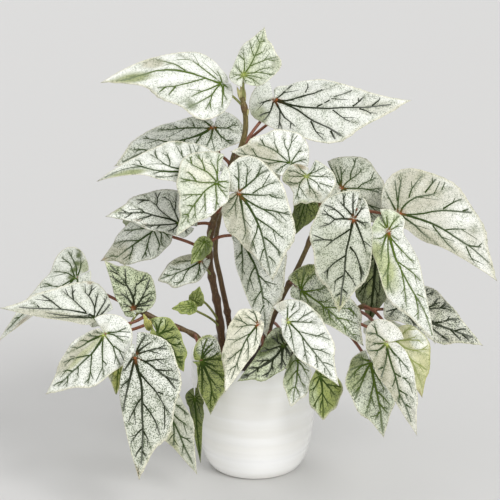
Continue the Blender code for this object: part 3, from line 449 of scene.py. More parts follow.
# Veins of the leaves in view, one a line and the midrib first: x y x y ... in hundredths of the
# midrib on the flat blade
VEINS = """
leaf_front_heart
0 0 -5 18 -7 35 -7 50 -5 62 -3 75 -1 87 0 93
0 3 2 14 5 28 8 42 10 52
-6 40 -2 46 5 54 11 63
-4 65 -1 67 3 73 6 79
-7 31 -13 40 -20 50 -25 60 -30 69
-8 54 -13 63 -17 73 -19 79
-5 74 -8 80 -10 88
-1 4 -9 16 -18 26 -26 37 -31 47 -34 53
-18 26 -28 32 -38 39 -46 45
-1 2 -10 6 -18 10 -30 14 -46 16
-30 14 -35 19 -47 25
-14 6 -22 4 -32 3 -43 3
-1 -1 -11 -4 -20 -7 -30 -11 -40 -12
-24 -9 -30 -14 -33 -19
-10 -4 -14 -12 -18 -20 -20 -26
-1 -2 -4 -10 -8 -20 -11 -31
-5 -12 -2 -20
1 1 5 6 12 12 21 17
1 0 8 3 15 5

leaf_centre_spotted
0 0 1 10 2 25 3 35 2 50 1 60 1 75 0 88 0 95
3 40 9 46 15 52 19 58 22 62
19 58 19 65 18 72
2 61 8 67 12 74 15 79
2 80 5 83 7 88
2 12 10 19 18 26 25 34 31 40 38 46
20 27 28 28 39 30
1 1 10 2 20 4 25 10 35 14
20 4 27 1 36 0
10 1 18 -5 26 -9 35 -10
1 -2 8 -8 15 -14 22 -22
12 -12 14 -20 16 -27
1 -3 3 -15 4 -27
0 30 -7 37 -13 47 -18 55 -20 57
-14 50 -17 58 -17 65
1 55 -5 61 -10 68 -13 73
0 75 -5 79 -8 83
-1 2 -5 8 -11 18 -17 30 -20 40 -23 47
-17 32 -22 36 -25 41
-1 1 -8 3 -15 7
-1 -1 -6 -10 -8 -20

leaf_right_big
0 0 -2 12 -5 28 -6 40 -6 55 -7 65 -7 80 -7 87
-4 30 0 38 3 48 5 58
-5 63 0 70 2 76
0 1 2 7 4 18 7 28 9 42 9 47
-6 41 -14 50 -20 58 -26 67
-21 59 -27 62 -33 65
-7 65 -12 74 -18 82
-8 83 -11 88
0 4 -8 16 -20 28 -28 40 -33 48 -40 58
-33 47 -39 51 -47 55
-24 31 -35 36 -42 40 -48 45
0 1 -8 1 -16 3 -25 8 -30 15 -40 21 -50 30
-40 21 -49 20
-30 10 -40 11 -48 12
-18 1 -28 -1 -45 0
-1 -1 -12 -6 -25 -11 -35 -14
-10 -6 -18 -11 -27 -17
-1 -3 -8 -13 -13 -20
-8 -13 -6 -18

leaf_right_tongue
0 0 2 10 4 25 3 42 1 57 -1 70 -1 80 0 93
1 57 3 68 7 78
3 30 6 45 10 58 14 71
11 60 17 64
1 2 7 15 10 24 16 35 18 48
10 24 15 30 23 36
15 33 19 42 23 47
1 1 8 8 13 15 20 27
1 1 8 3 15 0
3 27 -2 35 -7 46 -10 58
-1 57 -5 62 -8 70
-1 75 -3 81
1 4 -2 14 -6 26 -9 33
0 3 -5 10
0 0 -8 -1 -14 -3
-1 -1 -8 -6 -15 -9
-1 -3 -4 -11 -6 -17
0 -3 0 -14
1 -3 4 -10

leaf_top_left
0 0 -1 11 0 31 0 42 -1 55 -3 63 -4 72 -5 80 -3 92
-1 14 -5 21 -10 31 -14 42 -15 50 -16 57
-15 49 -19 54
-14 40 -24 48
-1 2 -9 11 -16 21 -24 31 -30 40
0 0 -4 4 -13 9 -19 15 -26 23 -32 31
-13 9 -20 11 -28 15
-20 11 -27 10
0 0 -9 0 -19 1 -27 3
-1 -1 -9 -1 -14 -4
0 -1 -3 -5
1 31 5 40 7 50 9 58
1 1 4 9 9 19 13 27 15 35
1 0 5 1 10 4

leaf_top_right
0 0 2 6 4 20 4 32 4 42 3 51 3 61 3 70 2 81 2 86
5 44 8 48 13 55 16 63 18 66
4 63 6 69 10 74
1 2 4 13 8 21 13 28 16 35 19 42 22 47 26 53
21 43 27 46
14 28 22 32 28 38 30 39
1 1 8 5 14 9 19 16 26 22
18 14 23 14
8 5 15 5 22 4
0 0 8 -2 14 -5 18 -9
10 -3 12 -11
0 -1 1 -7 3 -16
3 32 -1 39 -5 46 -9 55 -12 58
2 58 0 61 -4 66 -6 71
2 72 -1 76 -4 79
0 2 0 11 -5 21 -8 30 -11 36 -13 42 -15 46
-8 24 -13 26
-11 36 -16 38
0 1 -4 5 -12 12 -14 14

leaf_top
0 0 3 11 5 24 6 40 6 57 5 67 4 78 2 89 0 97
7 45 15 54 20 61 28 73
6 72 10 78 15 84
6 22 15 31 23 39 31 47 38 53 45 57
34 47 53 51
1 3 18 13 27 17 45 21 54 25
18 13 24 21 33 28 45 34
2 1 12 4 27 7 39 9
1 0 20 0 34 -4
1 -2 6 -7 12 -10
4 41 -4 50 -9 58 -16 69
5 69 -1 73 -7 80
0 2 -3 13 -8 25 -15 36 -21 48
-10 28 -25 34
-1 1 -10 6 -20 10
-1 0 -10 -3 -22 -6
-1 -2 -6 -10 -10 -16

leaf_upper_left
0 0 -3 10 -4 22 -3 34 -1 45 -1 60 0 75 0 92
-2 42 4 51 10 59 16 65
0 66 3 70 8 80
0 3 2 9 5 15 9 25 12 34 15 43 19 51
12 32 21 39
7 17 13 16
1 2 9 5 14 11
-4 30 -10 40 -15 52
-1 55 -6 64 -8 72
-1 1 -8 5 -13 9 -18 14
0 -1 -9 -2 -17 -5 -25 -9
-19 -6 -21 -12
-1 -2 -3 -6 -5 -12 -12 -20
-5 -12 -3 -22
-3 12 -12 24 -19 36

leaf_left_hook
0 0 -3 12 -5 22 -6 34 -4 43 0 51 1 62 1 75 0 92
0 51 3 58 5 63
2 52 10 57
0 5 0 19 2 26 5 31 10 36 18 44
9 35 20 36
1 23 10 22 18 25 26 28
1 1 9 4 18 7 27 11 34 13
20 7 34 8
1 -1 15 -4 34 -4
12 -4 24 -10 34 -15
1 -3 10 -16 20 -28
0 -3 3 -20 6 -36
0 2 -6 12 -10 22 -12 32 -12 44
-5 30 -9 42
-1 0 -10 -2 -16 -4
-1 -2 -8 -10 -12 -14

leaf_left_spotted
0 0 2 10 2 20 2 30 3 40 5 50 4 58 3 67 3 78 4 88
5 50 8 54 12 62 18 69
4 74 8 81
1 6 5 16 13 27 20 33 26 42 32 49
20 32 30 30 40 30
25 42 24 57
1 1 6 2 15 5 26 9 36 11 48 12
19 5 35 2 51 0
31 10 36 18
1 -2 10 -6 22 -14 34 -26
0 -3 6 -14 14 -28
20 -12 40 -16
-1 4 -5 13 -8 24 -10 32 -12 42 -13 50
2 40 -1 46 -4 55 -8 62 -10 67
3 66 -1 71 -5 78
-1 2 -10 9 -17 19
-9 28 -17 35
-1 -1 -8 -8 -14 -12

leaf_left_lower
0 0 -3 8 -4 20 -6 35 -7 47 -8 58 -10 70 -11 80 -12 88
-5 32 1 42 6 50 9 58 11 68
1 2 4 5 8 12 13 22 18 33 24 43
-10 76 -4 81 0 85
-8 46 -17 54 -24 63 -30 68
-11 80 -20 85
-2 6 -10 16 -20 26 -28 35 -34 44 -37 49
-29 35 -39 39
0 2 -14 4 -27 7 -34 13 -41 19
-2 -4 -12 -6 -20 -1 -26 3 -39 3
-2 -5 -17 -12 -28 -13
-1 -4 -6 -16 -8 -24
1 0 14 4 26 10
1 -2 8 -8 16 -12

leaf_front_green
0 0 3 9 6 20 6 32 6 43 6 51 5 61 4 70 4 81
7 28 15 34 23 40 35 51
6 51 14 54 20 58
5 64 9 69 13 74
1 1 8 6 16 11 26 16 35 20 40 26 48 31
35 20 43 24 53 26
26 16 40 12 50 13 59 15
1 -1 11 -4 23 -6 36 -4 50 -3 61 -5
27 -6 36 -13 47 -18 59 -20
50 -4 59 -11
46 -17 56 -25
1 -3 9 -12 18 -18 29 -23 39 -27 47 -33
30 -24 40 -39
5 -7 12 -18 21 -29 29 -46
5 22 -2 31 -9 40 -16 51 -18 58
5 47 -3 56 -12 67
4 64 -3 74
0 1 -7 11 -16 20 -21 29 -25 36
-19 25 -28 28
-1 1 -12 5 -24 8
-1 0 -10 0 -18 -1
-1 -2 -8 -9 -14 -11

leaf_upper_mid
0 0 -1 17 -2 33 -2 46 -1 58 -1 71 -1 87
-1 15 -4 25 -7 33 -10 39
-1 57 6 64 11 71 15 80
-1 76 1 78 6 85
1 3 8 16 13 25 17 36 19 46 20 58
19 46 25 51 32 58
13 23 24 30 34 37 42 43
1 1 11 4 20 7 28 13 38 15 46 17
20 6 31 3 41 2 52 0
1 -1 11 -6 20 -11 28 -15 42 -20
21 -12 27 -22 32 -28
0 3 -6 10 -12 17 -21 24
0 -3 8 -16 13 -28
-1 -1 -8 -8 -14 -14

leaf_front_long
0 0 -3 10 -6 20 -9 30 -10 42 -10 54 -9 63 -7 73 -5 82 -2 90
-9 31 -3 37 1 44 5 53
-9 56 -4 59 0 63 3 68
-8 70 -4 73 -1 77
0 2 1 12 2 22 4 30 7 40
1 13 4 16 8 19
-10 40 -13 44 -18 53
-9 62 -13 68 -17 76
-1 3 -9 16 -17 28 -24 40 -30 50
-21 36 -28 42 -34 50
-1 1 -12 9 -24 18 -34 24
-1 -1 -10 -2 -24 -2
1 -2 5 -8

leaf_front_white
0 0 -1 10 -2 22 -1 35 -1 50 -1 62 -1 72 0 86
-1 28 4 38 9 48 13 57
10 48 15 49
0 55 4 63 9 73
1 73 5 80
-2 19 -8 27 -14 34 -20 41 -26 50
-14 36 -22 39 -30 42
-2 46 -8 54 -15 67
-2 67 -5 71 -9 79
1 2 5 13 10 22 14 30 18 38
8 18 13 21
-1 2 -9 9 -20 19 -30 29
-20 19 -33 19
-9 8 -18 7 -33 9
-1 -1 -12 -3 -20 -3 -28 -7
-1 -2 -8 -10 -13 -16 -18 -22
-12 -8 -22 -14
1 1 6 5 12 10

leaf_front_left_white
0 0 2 10 4 20 5 33 4 42 3 52 2 62 1 70 0 80
5 40 8 47 11 54 15 64
4 17 9 23 15 31 19 38 23 47
1 3 9 6 16 11 22 15 29 17
12 7 20 6 31 7
1 0 10 -2 18 -4 27 -8
4 24 -1 31 -5 40 -9 50
0 4 -4 14 -7 24 -10 32
2 62 6 69 10 77
2 58 -3 66
1 -1 8 -9 14 -14

leaf_knob
0 0 4 10 8 22 8 34 6 46 4 57 3 68 3 80
3 60 -2 68 -9 75
7 40 -3 44 -10 50 -15 57
9 25 17 34 25 42 32 49 38 54
18 32 30 39 44 43 60 47
2 3 14 7 27 13 40 19 52 24 64 28
1 1 20 2 40 2 60 8
1 -2 14 -8 28 -14 40 -22
-2 3 -10 12 -20 25 -27 36 -32 47
-15 18 -26 28 -38 34 -50 43 -62 54
-2 2 -22 3 -38 6 -48 13 -60 19 -74 20 -88 20
-70 20 -78 25 -86 29
-46 4 -62 1 -75 -1 -90 0
-2 -1 -14 -7 -30 -13 -45 -20 -60 -27 -74 -32
-40 -18 -50 -30 -56 -40 -61 -50
-2 -3 -12 -16 -24 -30 -33 -43 -41 -56
-2 -5 -10 -20 -13 -34 -9 -52

leaf_right_back
0 0 -1 15 -2 30 -3 45 -3 60 -2 75 0 88
-3 47 -6 56 -10 65
0 2 -10 14 -19 26 -25 38 -31 50
-22 32 -30 40 -40 49
-15 20 -26 21 -38 27 -52 33
0 1 -15 2 -30 6 -45 8 -57 11
-20 3 -32 -3 -45 -6 -58 -11
-42 7 -50 4 -58 0
0 0 -12 -7 -22 -14 -32 -22 -43 -29
-1 -1 -9 -8 -18 -18 -26 -27 -35 -34
-1 -3 -8 -12 -15 -22 -22 -33
0 10 8 20 14 32 18 44
0 2 10 8 18 16
-2 45 6 54 11 64

leaf_small_left
0 0 -3 15 -5 28 -5 40 -4 55 -3 70 -1 82 0 92
-5 28 -11 40 -20 50 -29 55 -37 59
-21 50 -25 58 -27 68
-4 55 -8 66 -14 78 -18 87
-1 3 -8 8 -20 16 -28 24 -36 37
-10 9 -21 12 -34 17
-18 15 -26 18 -36 22
-1 47 4 54 10 62 17 70
1 2 8 14 13 27 19 38 25 49
-3 72 3 79 8 86
-1 -1 -10 -1 -20 -3
1 -1 6 -8

leaf_mid_small
0 0 -1 12 -2 25 -3 38 -3 50 -2 62 -1 72 0 84 1 95
-3 26 -7 31 -13 37
-3 55 -8 64 -12 73 -17 86
-1 82 -4 86 -8 93
-2 5 -10 12 -17 17 -25 21
-1 0 -12 -2 -22 -2 -34 -1
-1 -1 -10 -6 -20 -12 -31 -19
-5 -3 -15 -8 -26 -12 -36 -13
-1 -2 -7 -10 -14 -19
-3 36 -12 47 -22 57 -32 67
-22 57 -23 65 -22 74
-2 42 3 48 7 54 12 62
-1 68 3 74 7 80
-2 33 4 40 8 46
1 4 4 14 7 23
1 1 6 5 11 9

leaf_right_front
0 0 2 10 3 22 3 33 4 45 5 55 3 65 2 75 2 85
3 32 -2 38 -7 44 -11 50
4 50 -1 56 -7 65
2 66 -3 73
0 2 -3 12 -7 20 -10 28 -13 36
3 36 7 42 12 49 15 56
5 55 8 61 10 68
1 6 7 17 12 25 17 32 19 37
12 23 16 23 22 25
1 1 8 4 12 5 17 11 23 15
12 5 17 3 22 1
1 0 8 -2 14 -5 21 -9
1 -2 4 -8 8 -13 14 -16 19 -18
6 -12 5 -18 4 -24

leaf_right_yellow
0 0 -3 12 -6 26 -8 42 -8 58 -7 70 -7 80 -4 90
0 2 -5 14 -13 23 -22 30 -30 38 -37 46
-8 38 -12 46 -18 53 -22 60 -26 66
-7 64 -13 72 -18 80
-17 27 -28 32 -41 37
-1 2 -10 6 -20 10 -32 16 -40 20
-12 7 -25 9 -39 13
-1 0 -14 -3 -26 -6 -36 -7
0 1 4 14 7 28 8 42
-7 55 -3 62 0 70

leaf_front_dark
0 0 -3 8 -6 16 -8 28 -8 40 -7 50 -6 58 -5 66 -4 75 -2 83 0 92
-5 60 -10 66 -14 72 -17 79
-3 79 -7 87
-8 29 -14 36 -19 42 -22 50 -25 58 -28 66
-16 38 -24 42 -33 48
-1 3 -10 11 -20 20 -28 28 -36 37
-1 0 -10 1 -22 3
-7 37 -3 40 3 49 9 58
-6 58 0 64 5 73
-2 81 2 86
1 3 5 14 8 24 13 32 18 39
8 25 15 28 21 30
1 1 8 4 16 5 25 6
1 -1 10 -4 20 -8 28 -13
-1 -2 -4 -10

leaf_right_low
0 0 4 10 7 24 8 36 7 46 5 55 3 65 1 74 -1 82 -3 89
6 42 0 48 -6 54 -10 60 -15 68
3 65 -3 70 -6 76 -9 83
0 6 -5 22 -8 31 -14 38 -20 44 -26 49
-15 40 -18 47 -19 56
-14 38 -22 41 -29 43
-5 24 -12 29 -21 31 -31 34
4 60 7 70 9 78 10 85
5 14 10 30 14 45 16 57 18 70
16 56 17 66 17 76
2 74 3 81 4 87
-1 2 -12 10 -22 18 -30 22
-1 0 -14 0 -26 2
1 1 10 8 16 16 20 26
1 -1 12 -6 22 -8
-1 -2 -7 -12

leaf_right_hanging
0 0 0 20 -1 40 -1 55 -1 68 0 82 0 94
0 24 3 33 7 42 11 52 15 60 17 67
0 66 3 70 7 75
1 3 8 12 14 21 20 30 26 39 32 50
21 31 29 37 37 42
6 9 15 19 25 26 37 34
1 2 12 3 22 4 34 8
12 3 22 9 32 18
1 -1 8 -5 16 -10 26 -12
-1 55 -5 62 -9 70 -13 77
0 38 -6 46 -12 56 -17 64
0 8 -5 20 -9 32 -14 42
-1 2 -10 8 -18 16

leaf_pot_front
0 0 -3 7 -4 18 -4 30 -5 42 -4 55 -3 65 -3 75 -4 85 -3 93
-3 22 2 29 6 36 10 45 14 56
-2 57 2 60 7 68 11 76
1 1 6 4 10 12 14 22 18 30 22 39
-4 26 -10 36 -14 44 -20 52 -25 63
-4 56 -8 62 -12 70 -18 81
-1 3 -9 8 -15 14 -20 22 -27 32 -34 41
-17 17 -24 19 -31 18
-3 84 -8 91
-1 0 -14 2 -25 4
-1 -2 -8 -9
1 -2 5 -10
-16 46 -25 52

leaf_pot_right
0 0 -2 12 -3 28 -3 40 -2 55 -2 70 -1 85 -1 95
-3 40 -8 52 -12 62 -14 72 -17 88
-1 4 -10 16 -17 26 -24 36 -29 45 -33 52 -41 62
-29 45 -37 45 -48 46
-14 21 -24 24 -38 27 -50 31
-2 53 3 63 5 75 6 88
1 5 8 18 15 28 20 38 23 49
14 26 21 30 29 34
-3 36 6 48 13 59 19 69
-1 1 -14 6 -28 10
-1 -1 -14 -6 -28 -4
1 1 12 6 22 12
-1 -3 -8 -14
1 -2 6 -10

leaf_pot_left_green
0 0 -3 12 -6 22 -9 35 -10 48 -10 60 -12 72 -12 84 -9 93
-8 30 -14 40 -20 50 -26 60 -30 68
-21 50 -27 50 -34 53
-1 3 -12 14 -20 22 -28 29 -38 36
-1 2 -15 9 -27 14 -39 15
-1 0 -15 0 -28 1 -39 2
-1 -1 -14 -2 -28 -7 -38 -13
-1 -3 -12 -12 -25 -19 -37 -22
-1 -4 -10 -17 -22 -26 -36 -31
0 3 2 18 4 34 7 50 10 66
-10 58 -6 68 -3 80 -2 92
-1 -5 -6 -20 -16 -38
1 1 6 12 9 24
-11 70 -17 78 -20 84

leaf_left_white
0 0 4 5 6 13 7 25 7 38 6 50 5 62 4 72 4 82
7 12 13 19 19 26 24 33 29 40
20 27 28 28 34 29 41 31
7 39 11 43 16 49 20 56 22 60
6 62 9 66 12 71
3 3 12 3 20 6 27 11 33 17 42 21
28 11 34 9 42 8
14 3 25 2 35 0 46 -1
2 1 8 -1 18 -5 26 -8 35 -9
2 0 8 -5 16 -10 25 -14
2 3 0 15 -1 28 -3 38 -4 47
3 8 1 22 0 38 1 52

leaf_left_far
0 0 1 15 2 30 3 50 3 70 2 86
1 2 10 4 18 9 28 17
2 1 12 -1 20 -3 34 0
2 -1 12 -6 24 -8 36 -9
1 -2 8 -9 18 -15 29 -19
2 20 8 24 16 28 20 33
3 42 8 49 12 56
0 3 -4 14 -8 26
2 38 -3 47 -5 55
0 0 -7 2 -12 6
3 68 6 74

leaf_left_round
0 0 6 6 10 14 12 25 12 38 12 50 11 62 10 70 7 80 3 91
11 17 18 22 24 31 30 38 36 48 42 61
28 35 37 36 45 40 55 46
12 47 17 54 21 63 26 73
11 71 13 77 17 84
2 1 14 2 22 7 28 11 36 16 42 22 50 28 57 31
38 18 47 19 58 21
24 8 36 8 48 7 58 9
2 0 12 1 24 -2 36 -4 50 -7
2 -1 12 -2 22 -7 32 -12 38 -14
1 -2 9 -6 16 -11 22 -15
12 42 7 48 3 56 -1 64 -5 72
9 68 4 74 0 81
0 1 -4 8 -10 16
3 5 3 16 0 26 -4 36
-1 -1 -8 -2
35 46 42 54 50 58

leaf_left_front
0 0 -3 8 -5 18 -7 28 -6 40 -6 52 -5 62 -5 72 -4 83
-1 3 -8 11 -15 18 -22 24 -28 30 -34 34 -42 37
-22 24 -32 25 -42 28
-7 28 -14 36 -21 44 -26 51 -29 56
-34 34 -38 38 -41 42
-6 50 -11 55 -16 63 -20 70
-5 66 -9 71 -13 78
-1 1 -10 2 -18 3 -25 7 -32 10 -41 13
-18 2 -26 1 -33 -1
-1 -2 -8 -7 -17 -9 -27 -12
-1 -4 -8 -12 -10 -18 -12 -24
1 2 4 11 7 20 9 30 12 38 15 46
6 20 11 22 16 24
2 7 8 11 13 15
-6 31 -2 36 3 44 7 51 11 58
-5 58 0 61 3 66 6 71
1 0 6 4 11 7
-5 75 -2 79 0 86

leaf_left_front_big
0 0 -3 12 -6 22 -7 33 -7 45 -7 55 -7 62 -6 70 -5 78 -3 88
-3 13 -12 23 -19 31 -24 40 -28 47 -34 51
-20 31 -27 34 -33 37 -38 41
-8 40 -13 47 -17 54 -19 61 -21 69
-7 62 -11 70 -13 76 -15 83
-5 78 -8 83 -9 88
-1 2 -10 6 -18 12 -24 17 -31 20 -38 22
-18 12 -27 13 -37 13
-8 5 -18 4 -28 4 -36 3
-26 18 -31 24 -36 31
-1 -1 -8 -3 -16 -5 -25 -5
-1 -2 -6 -6 -12 -10 -19 -14
-1 -3 -4 -9 -7 -14 -9 -19
0 3 2 13 4 22 6 32 8 42 9 53
4 20 7 22 11 24
-7 35 -3 39 1 46 4 52 8 61
-7 60 -3 62 1 67 5 72
1 1 5 7 9 13
-5 74 -1 78 2 84

leaf_left_green
0 0 -4 12 -8 24 -9 40 -7 55 -5 68 -6 78 -4 90
-7 22 -13 33 -18 42 -25 50 -35 60
-14 35 -24 43 -37 49
-6 62 -12 70 -20 77
-5 74 -10 80 -15 86
-3 16 -14 20 -25 25 -36 31
-1 1 -14 3 -28 7 -42 11
-10 1 -22 -3 -36 -11
0 -2 -5 -12 -9 -22 -11 -33
-2 -5 -12 -14 -25 -25
0 3 5 14 7 28
-8 44 -3 54 0 64
1 0 9 4 14 9

leaf_left_under
0 0 1 15 2 30 1 42 1 55 1 66 0 78 0 86
1 50 -4 55 -7 61 -11 67
1 18 -4 30 -8 37 -11 43 -14 50
0 3 -6 12 -12 22 -15 30
2 30 5 42 9 53 13 64
1 60 4 66 8 74
1 3 8 16 14 28 18 40
-1 0 -10 2 -16 6
1 1 12 6 20 14
-1 -2 -5 -12
1 -2 8 -12
"""

